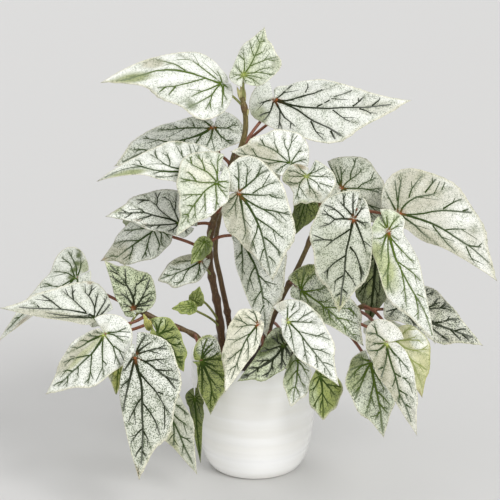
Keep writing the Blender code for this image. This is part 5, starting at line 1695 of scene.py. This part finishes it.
def traced_veins(lines, leaf):
    """Turn a leaf's lines of the table into veins short of the margin, and fork twigs off them."""
    veins = []
    for order, numbers in enumerate(lines):
        corners = list(zip(numbers[::2], numbers[1::2]))
        path = smooth_path([(x, y, 0) for x, y in corners], TRACED_STEPS)
        inside = [(point.x, point.y) for point in path
                  if fan_place(leaf, point.x, point.y)[1] < TRACED_END]
        if len(inside) < VEIN_LEAST:
            continue
        rank = 0 if order == 0 else 1 if math.hypot(*corners[0]) < JOINT_NEAR else 2
        veins.append((inside, *TRACED_WIDTHS[rank]))
    return veins + twigs(leaf, veins)


def thin_out(points, most):
    """Keep a path's ends and at most a few points between."""
    if len(points) <= most:
        return points
    return [points[round(index * (len(points) - 1) / (most - 1))] for index in range(most)]


def near_veins(spots, veins, scale):
    """Measure how close each flat point lies to a vein that is no twig, in millimetres."""
    best = np.full(len(spots), FAR)
    spots = np.array(spots)
    for points, width, _ in veins:
        if width <= TWIG_WIDTHS[0]:
            continue
        line = np.array(thin_out(points, RIB_POINTS))
        for first, second in zip(line, line[1:]):
            step = second - first
            part = ((spots - first) @ step / max(step @ step, TINY)).clip(0, 1)
            gap = np.hypot(*(spots - first - part[:, None] * step).T)
            best = np.minimum(best, gap)
    return best * scale


def blend_tone(first, second, amount):
    """Mix two colours."""
    return tuple(a + (b - a) * amount for a, b in zip(first, second))


def rough(spot, scale, fineness, shift):
    """Give a soft noise at a flat point, as coarse on a large blade as on a small one."""
    size = scale / FULL_BLADE
    return noise.noise(Vector((spot[0] * fineness * size, spot[1] * fineness * size, shift)))


def joint_glow(spot, scale):
    """Say how near a flat point is to the joint, from 1 there down to 0."""
    return math.exp(-(math.hypot(*spot) * scale / JOINT_GLOW) ** 2)


def paint_blade(look, tones, reach, spot, vein_gap, scale, shift):
    """Find the colour of a point of the blade, and its masks for veins, margin and speckles."""
    ground, second, patch, vein, _, speckle, edge, joint, washes = look
    cloud = rough(spot, scale, CLOUD_SCALE, shift)
    colour = blend_tone(tones[ground], tones[second], min(1, max(0, patch + cloud * CLOUD)))
    # Washes lay the leaf's own tones; the warm grey ones, and those over a half turned from the
    # light, are painted shade
    for name, x, y, wide, tall, strength in washes:
        gap = math.hypot((spot[0] * HUNDREDTHS - x) / wide, (spot[1] * HUNDREDTHS - y) / tall)
        cover = max(0.0, 1 - gap * gap)
        cover = min(1.0, cover * (WASH_FILL + rough(spot, scale, WASH_SCALE, shift + WASH_SHIFT)))
        colour = blend_tone(colour, tones[name], cover * strength)
    colour = blend_tone(colour, tones["olive"], math.exp(-vein_gap / VEIN_GLOW) * VEIN_GLOW_MIX)
    halo = math.exp(-vein_gap / VEIN_HALO)
    colour = blend_tone(colour, tones[vein], halo * VEIN_HALO_MIX)
    colour = blend_tone(colour, tones[joint], joint_glow(spot, scale) * JOINT_MIX)
    rim = max(0.0, (reach - RIM_START) / RIM_WIDTH)
    colour = blend_tone(colour, tones[edge], rim * RIM_MIX)
    speckle *= (SPECKLE_OPEN + SPECKLE_BY_VEIN * halo) * (1 - SPECKLE_RIM_LOSS * rim)
    return colour, (halo, rim, speckle)


def add(tree, kind, inputs=None, **options):
    """Add a shader node with its options, and link or set its inputs."""
    made = tree.nodes.new(kind)
    for key, value in options.items():
        setattr(made, key, value)
    for key, value in (inputs or {}).items():
        if isinstance(value, bpy.types.NodeSocket):
            tree.links.new(value, made.inputs[key])
        else:
            made.inputs[key].default_value = value
    return made


def mix(tree, factor, first, second, blend="MIX"):
    """Mix two colours by a factor, and give the mixed socket."""
    made = add(tree, "ShaderNodeMix", {MIX_FACTOR: factor}, data_type="RGBA", blend_type=blend)
    for index, value in ((MIX_FIRST, first), (MIX_SECOND, second)):
        if isinstance(value, bpy.types.NodeSocket):
            tree.links.new(value, made.inputs[index])
        else:
            made.inputs[index].default_value = (*value[:3], 1.0)
    return made.outputs[MIX_RESULT]


def maths(tree, operation, *values):
    """Add a maths node, and give its socket."""
    return add(tree, "ShaderNodeMath", dict(enumerate(values)), operation=operation).outputs[0]


def fade(tree, value, low, high, to_low=0.0, to_high=1.0):
    """Map a value smoothly from one span to another, and give its socket."""
    return add(tree, "ShaderNodeMapRange",
               {"Value": value, "From Min": low, "From Max": high, "To Min": to_low,
                "To Max": to_high}, interpolation_type="SMOOTHSTEP").outputs["Result"]


def group(name, inputs, outputs):
    """Start a node group with named inputs and outputs: (name, socket type, default)."""
    tree = bpy.data.node_groups.new(name, "ShaderNodeTree")
    for label, kind, default in inputs:
        made = tree.interface.new_socket(label, in_out="INPUT", socket_type=kind)
        made.default_value = default
    for label, kind in outputs:
        tree.interface.new_socket(label, in_out="OUTPUT", socket_type=kind)
    return tree, tree.nodes.new("NodeGroupInput").outputs, tree.nodes.new("NodeGroupOutput").inputs


def painted(tree, name="tint"):
    """Read an attribute painted on a piece, and give its socket."""
    return add(tree, "ShaderNodeAttribute", attribute_name=name).outputs["Color"]


def clouds(tree, place, fineness, detail=3.0, stretch=None):
    """Read a noise, stretched by its scale along each axis if need be, and give its outputs."""
    if stretch:
        place = add(tree, "ShaderNodeMapping", {"Vector": place, "Scale": stretch}).outputs[0]
    return add(tree, "ShaderNodeTexNoise",
               {"Vector": place, "Scale": fineness, "Detail": detail}).outputs


def cells(tree, place, fineness, feature="F1"):
    """Read the distance in a pattern of cells, and give its socket."""
    return add(tree, "ShaderNodeTexVoronoi", {"Vector": place, "Scale": fineness},
               feature=feature).outputs["Distance"]


def leaf_paint_group():
    """Build the group that paints mottling, speckles and fine veinlets over a blade's tint."""
    tree, given, out = group(
        "Leaf Paint",
        (("Speckle Color", "NodeSocketColor", (0.1, 0.15, 0.05, 1.0)),
         ("Net", "NodeSocketFloat", 0.3), ("Mottle", "NodeSocketFloat", 0.3)),
        (("Color", "NodeSocketColor"), ("Height", "NodeSocketFloat")))
    flat = add(tree, "ShaderNodeUVMap", uv_map="flat").outputs["UV"]
    tint = painted(tree)
    masks = add(tree, "ShaderNodeSeparateColor", {"Color": painted(tree, "mask")}).outputs
    near_vein, speckled = masks["Red"], masks["Blue"]
    dots = cells(tree, flat, SPECKLE_SCALE)
    patches = clouds(tree, flat, PATCH_SCALE)["Fac"]
    grain = clouds(tree, flat, GRAIN_SCALE, detail=2.0)
    bent = mix(tree, VEINLET_WOBBLE, flat, grain["Color"], "ADD")
    net = cells(tree, bent, VEINLET_SCALE, "DISTANCE_TO_EDGE")

    size = maths(tree, "MULTIPLY_ADD", speckled, SPECKLE_GROWTH,
                 fade(tree, patches, *NOISE_SPAN, *SPECKLE_SIZES))
    speckle = fade(tree, maths(tree, "SUBTRACT", size, dots), *SPECKLE_EDGE)
    depth = maths(tree, "MULTIPLY_ADD", speckled, *SPECKLE_DEPTH)
    speckle = maths(tree, "MULTIPLY", speckle, depth)
    lines = maths(tree, "MULTIPLY", fade(tree, net, 0.0, VEINLET_WIDTH, 1.0, 0.0), given["Net"])
    depth = maths(tree, "MULTIPLY_ADD", near_vein, *VEINLET_DEPTH)
    lines = maths(tree, "MINIMUM", maths(tree, "MULTIPLY", lines, depth), VEINLET_MOST)
    blotch = maths(tree, "MULTIPLY", fade(tree, patches, *BLOTCH_SPAN), given["Mottle"])

    darker = mix(tree, 1.0, tint, BLOTCH_TONE, "MULTIPLY")
    colour = mix(tree, blotch, tint, darker)
    colour = mix(tree, speckle, colour, given["Speckle Color"])
    colour = mix(tree, lines, colour, given["Speckle Color"])
    fine = fade(tree, grain["Fac"], *NOISE_SPAN, *GRAIN_TONES)
    fine = add(tree, "ShaderNodeCombineColor", dict.fromkeys(("Red", "Green", "Blue"), fine))
    tree.links.new(mix(tree, 1.0, colour, fine.outputs["Color"], "MULTIPLY"), out["Color"])

    height = maths(tree, "MULTIPLY", lines, VEINLET_RISE)
    height = maths(tree, "MULTIPLY_ADD", near_vein, VEIN_RISE, height)
    height = maths(tree, "MULTIPLY_ADD", grain["Fac"], GRAIN_RISE, height)
    tree.links.new(height, out["Height"])
    return tree


def skin_group():
    """Build the group that streaks and flecks a cane or stalk."""
    tree, given, out = group(
        "Cane Skin", (("Fleck Color", "NodeSocketColor", FLECK_COLOUR),),
        (("Color", "NodeSocketColor"), ("Height", "NodeSocketFloat")))
    place = add(tree, "ShaderNodeTexCoord").outputs["Object"]
    tint = painted(tree)
    streak = clouds(tree, place, STREAK_SCALE, stretch=STREAK_STRETCH)["Fac"]
    fleck = fade(tree, cells(tree, place, FLECK_SCALE), *FLECK_EDGE, 1.0, 0.0)
    dark = mix(tree, 1.0, tint, STREAK_TONE, "MULTIPLY")
    colour = mix(tree, fade(tree, streak, *STREAK_SPAN), dark, tint)
    colour = mix(tree, maths(tree, "MULTIPLY", fleck, FLECK_MIX), colour, given["Fleck Color"])
    tree.links.new(colour, out["Color"])
    tree.links.new(maths(tree, "ADD", streak, fleck), out["Height"])
    return tree


def surface(name, roughness, **sockets):
    """Make a material with a Principled shader, and give its tree and shader too."""
    made = bpy.data.materials.new(name)
    made.use_nodes = True
    shader = made.node_tree.nodes["Principled BSDF"]
    shader.inputs["Roughness"].default_value = roughness
    for label, value in sockets.items():
        shader.inputs[label.replace("_", " ")].default_value = value
    return made, made.node_tree, shader


def group_surface(name, tree_group, inputs, roughness, relief, **sockets):
    """Make a material whose colour and relief come from a node group."""
    made, tree, shader = surface(name, roughness, **sockets)
    paint = tree.nodes.new("ShaderNodeGroup")
    paint.node_tree = tree_group
    for label, value in inputs.items():
        paint.inputs[label].default_value = value
    tree.links.new(paint.outputs["Color"], shader.inputs["Base Color"])
    bump = add(tree, "ShaderNodeBump", {"Height": paint.outputs["Height"], "Strength": 0.5,
                                        "Distance": relief})
    tree.links.new(bump.outputs["Normal"], shader.inputs["Normal"])
    return made


def leaf_tones(leaves):
    """Read the colours of the leaves from their settings, and mix the gold of old leaves."""
    found = {name: tuple(getattr(leaves, name)) for name, setting
             in leaves.bl_rna.properties.items() if setting.subtype == "COLOR"}
    found["gold"] = blend_tone(found["olive"], found["yellow"], GOLD_MIX)
    return found


def sheet(blade, look, tones, veins, leaves, shift):
    """Build a blade as an open sheet: a fan of a grid, painted and warped to the leaf's form."""
    *_, leaf, phase, place, scale = blade
    detail = SMALL_SHARE if scale < SMALL_BLADE else 1
    columns = int(leaves.columns * detail)
    rows = int(leaves.rows * detail)
    bm = bmesh.new()
    bmesh.ops.create_grid(bm, x_segments=columns, y_segments=rows, size=0.5)
    tint = bm.verts.layers.float_color.new("tint")
    mask = bm.verts.layers.float_color.new("mask")
    flat = bm.loops.layers.uv.new("flat")
    verts = list(bm.verts)
    fans = []
    for vert in verts:
        sweep = round((vert.co.x + 0.5) * columns) / columns
        row = round((vert.co.y + 0.5) * rows) / rows
        fans.append((sweep, row ** ROW_CROWDING))
    spots = [flat_point(leaf, *fan) for fan in fans]
    gaps = near_veins(spots, veins, scale)
    for vert, (sweep, reach), spot, gap in zip(verts, fans, spots, gaps):
        colour, masks = paint_blade(look, tones, reach, spot, gap, scale, shift)
        vert[tint] = (*colour, 1.0)
        vert[mask] = (*masks, 1.0)
        tooth = abs((sweep * FRINGE_TEETH) % 1 - 0.5) * 2 - 0.5
        fringed = reach * (1 + leaves.fringe * tooth * reach ** FRINGE_RISE)
        point = blade_point(leaf, sweep, fringed, phase)
        ruffle = math.sin(sweep * math.tau * RUFFLES + phase * 2) * RUFFLE * reach ** RUFFLE_RISE
        point.z += ruffle * min(1, abs(sweep - 0.5) * RUFFLE_START) / scale
        vert.co = place @ point * MM
        for loop in vert.link_loops:
            loop[flat].uv = (spot[0] * scale / FULL_BLADE + shift,
                             spot[1] * scale / FULL_BLADE + shift * PATTERN_SLANT)
    bmesh.ops.remove_doubles(bm, verts=bm.verts, dist=WELD)
    return bm


def thicken(context, name, bm, thickness, material):
    """Give an open sheet its thickness: its faces and its rim get slots 0 and 1."""
    mesh = bpy.data.meshes.new(name)
    bm.to_mesh(mesh)
    bm.free()
    holder = bpy.data.objects.new(name, mesh)
    context.scene.collection.objects.link(holder)
    for _ in range(RIB_MATERIAL + 1):
        mesh.materials.append(material)
    solid = holder.modifiers.new("Thickness", "SOLIDIFY")
    solid.thickness = thickness
    solid.offset = 0.0
    solid.material_offset = 1
    solid.material_offset_rim = 0
    thick = bmesh.new()
    thick.from_mesh(holder.evaluated_get(context.evaluated_depsgraph_get()).to_mesh())
    bpy.data.objects.remove(holder)
    bpy.data.meshes.remove(mesh)
    return thick


def vein_point(blade, spot):
    """Put a point of the flat blade on the blade, and find the blade's normal there."""
    *_, leaf, phase, place, _ = blade
    sweep, reach = fan_place(leaf, *spot)
    reach = max(reach, PROBE * 2)
    here = place @ blade_point(leaf, sweep, reach, phase)
    round_it = (place @ blade_point(leaf, min(1.0, sweep + PROBE), reach, phase)
                - place @ blade_point(leaf, max(0.0, sweep - PROBE), reach, phase))
    outward = (place @ blade_point(leaf, sweep, reach + PROBE, phase)
               - place @ blade_point(leaf, sweep, reach - PROBE, phase))
    normal = round_it.cross(outward).normalized()
    if normal.dot((place.to_3x3() @ Vector((0, 0, 1)))) < 0:
        normal.negate()
    return here, normal


def add_boss(bm, blade, colour):
    """Add the small dome at the joint, on both faces of a blade."""
    here, normal = vein_point(blade, (0.0, 0.0))
    across = normal.orthogonal().normalized()
    other = normal.cross(across)
    boss = BOSS_RADIUS * (blade.scale / FULL_BLADE) ** BOSS_GROWTH
    dome = []
    for part, side in BOSS_RINGS:
        rise = math.sqrt(1 - part * part) * side * boss * BOSS_FLATNESS
        dome.append(((here + normal * rise) * MM, across * boss * part * MM,
                     other * boss * part * MM))
    skin_rings(bm, dome, BOSS_SIDES, [colour] * len(dome), RIB_MATERIAL)


def add_ribs(bm, blade, look, tones, veins, leaves):
    """Add the veins to a blade as low ribs that stand out of both its faces."""
    ground, _, _, vein, factor, _, _, joint, _ = look
    half_sheet = leaves.thickness / MM / 2
    growth = (blade.scale / FULL_BLADE) ** RIB_GROWTH
    for order, (points, first_width, last_width) in enumerate(veins):
        spots = thin_out(points, RIB_POINTS if order else MIDRIB_POINTS)
        placed = [vein_point(blade, spot) for spot in spots]
        rings = []
        paint = []
        for index, (here, normal) in enumerate(placed):
            part = index / (len(placed) - 1)
            ahead = (placed[min(index + 1, len(placed) - 1)][0]
                     - placed[max(index - 1, 0)][0]).normalized()
            across = ahead.cross(normal).normalized()
            width = first_width + (last_width - first_width) * part
            half = width * factor * leaves.vein_width / MM / 2 * growth
            height = half_sheet + leaves.vein_height / MM * (1 - part * RIB_SINK)
            rings.append((here * MM, across * half * MM, normal * height * MM))
            colour = blend_tone(tones[vein], tones[ground], RIB_PALING * part ** 2)
            glow = joint_glow(spots[index], blade.scale) * RIB_JOINT_MIX
            paint.append(blend_tone(colour, tones[joint], glow))
        skin_rings(bm, rings, RIB_SIDES, paint, RIB_MATERIAL)
    add_boss(bm, blade, tones[joint])


class BEGONIA_OT_leaves(bpy.types.Operator):
    """Build every leaf blade with its colours, veins and joint"""

    bl_idname = "begonia.leaves"
    bl_label = "Leaves"

    def execute(self, context):
        leaves = context.scene.begonia_leaves
        tones = leaf_tones(leaves)
        paint = leaf_paint_group()
        skins = {}
        for slot, (speckle, net, mottle, roughness) in LEAF_SKINS.items():
            skins[slot] = group_surface(
                slot, paint, {"Speckle Color": (*tones[speckle], 1.0), "Net": net,
                              "Mottle": mottle}, roughness, LEAF_RELIEF, Specular_IOR_Level=0.4)
        back = group_surface("leaf_back", paint, {"Speckle Color": (*tones["underside"], 1.0),
                                                  "Net": 0.4, "Mottle": 0.5},
                             roughness=0.5, relief=BACK_RELIEF)
        rib, tree, shader = surface("leaf_rib", roughness=0.7, Specular_IOR_Level=0.08)
        tree.links.new(painted(tree), shader.inputs["Base Color"])
        lines = read_veins()
        rng = random.Random(SEED)
        for name, blade in leaf_table().items():
            look = LOOKS[name]
            veins = (traced_veins(lines[name], blade.leaf) if name in lines
                     else vein_routes(blade.leaf, rng))
            bm = sheet(blade, look, tones, veins, leaves, rng.uniform(0, PATTERN_SHIFT))
            bm = thicken(context, name, bm, leaves.thickness, rib)
            add_ribs(bm, blade, look, tones, veins, leaves)
            slot = LEAF_SLOTS.get(name, "leaf_silver")
            obj = new_piece(name.replace("leaf_", "blade_"), bm, (skins[slot], back, rib))
            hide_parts(name)
        return {"FINISHED"}


def add_cane(bm, canes, path, foot_radius, top_radius, nodes):
    """Add a cane that thickens at its knuckles and turns from brown to green."""
    lengths = path_lengths(path)
    radii = []
    paint = []
    for index, run in enumerate(lengths):
        radius = foot_radius + (top_radius - foot_radius) * index / (len(path) - 1)
        swell = max(math.exp(-((run - share * lengths[-1]) / KNUCKLE_LENGTH) ** 2)
                    for share in nodes)
        radii.append(radius * (1 + KNUCKLE * swell))
        green = min(1.0, max(0.0, run / lengths[-1] * GREENING - GREEN_START))
        colour = blend_tone(canes.bark, canes.green, green)
        paint.append(blend_tone(colour, canes.bark, swell * KNUCKLE_BARK))
    skin_rings(bm, tube_rings(path, radii), CANE_SIDES, [paint[0], *paint, paint[-1]])


def add_stalk(bm, canes, points, young):
    """Add a leaf's stalk along its points, with a collar at each end."""
    colour, thin = (canes.stalk_green, YOUNG_STALK) if young else (canes.stalk, 1)
    radii = []
    for index in range(len(points)):
        part = index / (len(points) - 1)
        collar = (CANE_COLLAR * math.exp(-(part * COLLAR_FALL) ** 2)
                  + JOINT_COLLAR * math.exp(-((1 - part) * COLLAR_FALL) ** 2))
        radii.append(STALK_RADIUS * (1 + STALK_TAPER * (1 - part) + collar) * thin)
    skin_rings(bm, tube_rings(points, radii), STALK_SIDES, [tuple(colour)] * (len(points) + 2))


def add_scale(bm, canes, tip, root, wide):
    """Add a papery scale, broad at its root and pointed at its tip."""
    root, tip = Vector(root), Vector(tip)
    side = (tip - root).cross(SCALE_FACING).normalized()
    thin = side.cross(tip - root).normalized() * SCALE_THICKNESS
    rings = []
    for step in range(SCALE_STEPS + 1):
        part = step / SCALE_STEPS
        bulge = wide * math.sin(math.pi * (SCALE_ROOT + part * (1 - SCALE_ROOT)))
        rings.append(((root + (tip - root) * part) * MM, side * bulge * MM, thin * MM))
    rings = close_ends(rings)
    skin_rings(bm, rings, SCALE_SIDES, [tuple(canes.scale)] * len(rings))


class BEGONIA_OT_canes(bpy.types.Operator):
    """Build the canes with their swollen nodes, and the stalk of every leaf"""

    bl_idname = "begonia.canes"
    bl_label = "Canes and stalks"

    def execute(self, context):
        canes = context.scene.begonia_canes
        skin = group_surface("cane", skin_group(), {"Fleck Color": FLECK_COLOUR},
                             roughness=0.5, relief=CANE_RELIEF)
        blades = leaf_table()
        for name, (foot_radius, top_radius, foot, corners) in CANES.items():
            grown = {leaf: blade for leaf, blade in blades.items() if blade.cane == name}
            upright = [(*foot, height) for height in FOOT_HEIGHTS]
            path = smooth_path([*upright, *corners], PATH_STEPS)
            bm = bmesh.new()
            bm.verts.layers.float_color.new("tint")
            nodes = [blade.share for blade in grown.values()] + OLD_KNUCKLES
            add_cane(bm, canes, path, foot_radius, top_radius, nodes)
            for leaf, blade in grown.items():
                start, way = along(path, blade.share)
                points = stalk_points(leaf, start, way, blade.joint, blade.place)
                add_stalk(bm, canes, points, blade.scale < SMALL_BLADE or leaf in GREEN_STALKS)
            for papery in SCALES.get(name, ()):
                add_scale(bm, canes, *papery)
            obj = new_piece(name.replace("cane_", "stem_"), bm, (skin,))
            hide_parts(name)
        return {"FINISHED"}


class BEGONIA_OT_pot(bpy.types.Operator):
    """Build the glazed pot with its throwing rings"""

    bl_idname = "begonia.pot"
    bl_label = "Pot"

    def execute(self, context):
        pot = context.scene.begonia_pot
        wall = smooth_path([(radius, 0, height) for radius, height in POT_OUTLINE], POT_STEPS)
        rings = []
        for point in wall:
            radius, height = max(0.0, point.x), max(0.0, point.z)
            if radius > RINGED_RADIUS and RINGED_HEIGHTS[0] < height < RINGED_HEIGHTS[1]:
                radius += (math.sin(height * RING_WAVE) * math.sin(height * RING_SWELL)
                           * pot.ring_depth / MM)
            rings.append(lathe_ring(radius, height))
        bm = bmesh.new()
        skin_rings(bm, rings, pot.steps)
        made, tree, shader = surface("glaze", roughness=0.2, Coat_Weight=0.35,
                                     Coat_Roughness=0.08)
        place = add(tree, "ShaderNodeTexCoord").outputs["Object"]
        cloud = clouds(tree, place, GLAZE_SCALE, stretch=GLAZE_STRETCH)["Fac"]
        colour = mix(tree, fade(tree, cloud, *NOISE_SPAN), pot.glaze, pot.glaze_warm)
        tree.links.new(colour, shader.inputs["Base Color"])
        obj = new_piece("pot_glazed", bm, (made,))
        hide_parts("pot")
        return {"FINISHED"}


def soil_height(part):
    """Say how high the soil stands at a share of its radius."""
    return SOIL_EDGE + SOIL_RISE * (1 - part * part)


class BEGONIA_OT_soil(bpy.types.Operator):
    """Build the rough potting soil with its loose crumbs"""

    bl_idname = "begonia.soil"
    bl_label = "Soil"

    def execute(self, context):
        pot = context.scene.begonia_pot
        bm = bmesh.new()
        tint = bm.verts.layers.float_color.new("tint")
        rings = [lathe_ring(radius, height) for radius, height in SOIL_WALL]
        for step in range(SOIL_ROWS + 1):
            part = 1 - step / SOIL_ROWS
            rings.append(lathe_ring(SOIL_RADIUS * part, soil_height(part)))
        skin_rings(bm, rings, SOIL_SIDES, [tuple(pot.earth)] * len(rings))
        for vert in bm.verts:
            if vert.co.z > (SOIL_EDGE - 1) * MM:
                lump = sum(noise.noise(vert.co * scale) * height for scale, height in LUMPS)
                vert.co.z += (lump - LUMP_SINK) * MM
        rng = random.Random(SEED + 1)
        for _ in range(pot.crumbs):
            turn = rng.uniform(0, math.tau)
            part = math.sqrt(rng.uniform(0, CRUMB_SPREAD))
            size = rng.uniform(*CRUMB_SIZES) * MM
            pale = rng.random() < PALE_SHARE
            crumb = bmesh.ops.create_icosphere(bm, subdivisions=1, radius=size)["verts"]
            stretch = Vector((1, rng.uniform(*CRUMB_WIDTHS), rng.uniform(*CRUMB_HEIGHTS)))
            bmesh.ops.scale(bm, vec=stretch, verts=crumb)
            bmesh.ops.rotate(bm, verts=crumb,
                             matrix=Matrix.Rotation(rng.uniform(0, CRUMB_TURN), 3, "X")
                             @ Matrix.Rotation(rng.uniform(0, CRUMB_TURN), 3, "Z"))
            place = Vector((SOIL_RADIUS * part * math.cos(turn),
                            SOIL_RADIUS * part * math.sin(turn), soil_height(part) - CRUMB_SINK))
            bmesh.ops.translate(bm, verts=crumb, vec=place * MM)
            colour = PALE_CRUMB if pale else blend_tone(pot.earth, BROWN_CRUMB, rng.random())
            for vert in crumb:
                vert[tint] = (*colour, 1.0)
        skin, tree, shader = surface("soil", roughness=0.95)
        place = add(tree, "ShaderNodeTexCoord").outputs["Object"]
        mass = painted(tree)
        grit = clouds(tree, place, GRIT_SCALE, detail=4.0)["Fac"]
        dark = mix(tree, 1.0, mass, GRIT_TONE, "MULTIPLY")
        tree.links.new(mix(tree, fade(tree, grit, *GRIT_SPAN), dark, mass),
                       shader.inputs["Base Color"])
        bump = add(tree, "ShaderNodeBump", {"Height": grit, "Distance": GRIT_RELIEF})
        tree.links.new(bump.outputs["Normal"], shader.inputs["Normal"])
        obj = new_piece("soil_surface", bm, (skin,))
        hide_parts("soil")
        return {"FINISHED"}


class BEGONIA_OT_stage(bpy.types.Operator):
    """Set up the floor, the lights and the camera"""

    bl_idname = "begonia.stage"
    bl_label = "Stage"

    def execute(self, context):
        stage = context.scene.begonia_stage
        bm = bmesh.new()
        bmesh.ops.create_grid(bm, x_segments=1, y_segments=1, size=FLOOR_SIZE)
        mesh = bpy.data.meshes.new("floor")
        bm.to_mesh(mesh)
        bm.free()
        skin, _, shader = surface("floor_paint", roughness=0.8)
        shader.inputs["Base Color"].default_value = (*stage.floor, 1.0)
        mesh.materials.append(skin)
        floor = bpy.data.objects.new("floor", mesh)
        context.scene.collection.objects.link(floor)
        world = bpy.data.worlds.new("Surroundings")
        world.use_nodes = True
        sky = world.node_tree.nodes["Background"]
        sky.inputs["Color"].default_value = (*stage.sky, 1.0)
        sky.inputs["Strength"].default_value = stage.sky_strength
        context.scene.world = world
        for name, place, softness, share, colour in LIGHTS:
            lamp = bpy.data.lights.new(name, "SUN")
            lamp.angle = math.radians(softness)
            lamp.energy = stage.key_power * share
            lamp.color = colour
            holder = bpy.data.objects.new(name, lamp)
            holder.location = place
            holder.rotation_euler = (-Vector(place)).to_track_quat("-Z", "Y").to_euler()
            context.scene.collection.objects.link(holder)
        lens = bpy.data.cameras.new("Camera")
        lens.lens = stage.camera_lens
        lens.clip_end = FARTHEST
        camera = bpy.data.objects.new("Camera", lens)
        camera.location = stage.camera_place
        camera.rotation_euler = (math.pi / 2 - stage.camera_pitch, 0, 0)
        context.scene.collection.objects.link(camera)
        context.scene.camera = camera
        context.scene.view_settings.view_transform = "Standard"
        return {"FINISHED"}


class BEGONIA_PT_panel(bpy.types.Panel):
    """List what can be built"""

    bl_idname = "BEGONIA_PT_panel"
    bl_label = "Potted Cane Begonia"
    bl_space_type = "VIEW_3D"
    bl_region_type = "UI"
    bl_category = "Begonia"

    def draw(self, context):
        """Show the button of every operator and the settings that it reads."""
        for label, settings, operators in PARTS:
            box = self.layout.box()
            box.label(text=label)
            for operator in operators:
                box.operator(operator.bl_idname)
            group_of = getattr(context.scene, settings)
            for key in group_of.bl_rna.properties.keys():
                if key not in ("rna_type", "name"):
                    box.prop(group_of, key)


PARTS = (
    ("Stage", "begonia_stage", (BEGONIA_OT_stage,)),
    ("Pot and soil", "begonia_pot", (BEGONIA_OT_pot, BEGONIA_OT_soil)),
    ("Canes", "begonia_canes", (BEGONIA_OT_canes,)),
    ("Leaves", "begonia_leaves", (BEGONIA_OT_leaves,)),
)
SETTINGS = {"begonia_stage": BegoniaStageSettings, "begonia_pot": BegoniaPotSettings,
            "begonia_canes": BegoniaCaneSettings, "begonia_leaves": BegoniaLeafSettings}


def register():
    """Register the settings, the operators and the panel."""
    for name, settings in SETTINGS.items():
        bpy.utils.register_class(settings)
        setattr(bpy.types.Scene, name, bpy.props.PointerProperty(type=settings))
    for _, _, operators in PARTS:
        for operator in operators:
            bpy.utils.register_class(operator)
    bpy.utils.register_class(BEGONIA_PT_panel)


def unregister():
    """Take back what register did, in reverse."""
    bpy.utils.unregister_class(BEGONIA_PT_panel)
    for _, _, operators in reversed(PARTS):
        for operator in reversed(operators):
            bpy.utils.unregister_class(operator)
    for name, settings in SETTINGS.items():
        delattr(bpy.types.Scene, name)
        bpy.utils.unregister_class(settings)


def main():
    """Register the add-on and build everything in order."""
    register()
    for _, _, operators in PARTS:
        for operator in operators:
            area, action = operator.bl_idname.split(".")
            getattr(getattr(bpy.ops, area), action)()


if __name__ == "__main__":
    main()
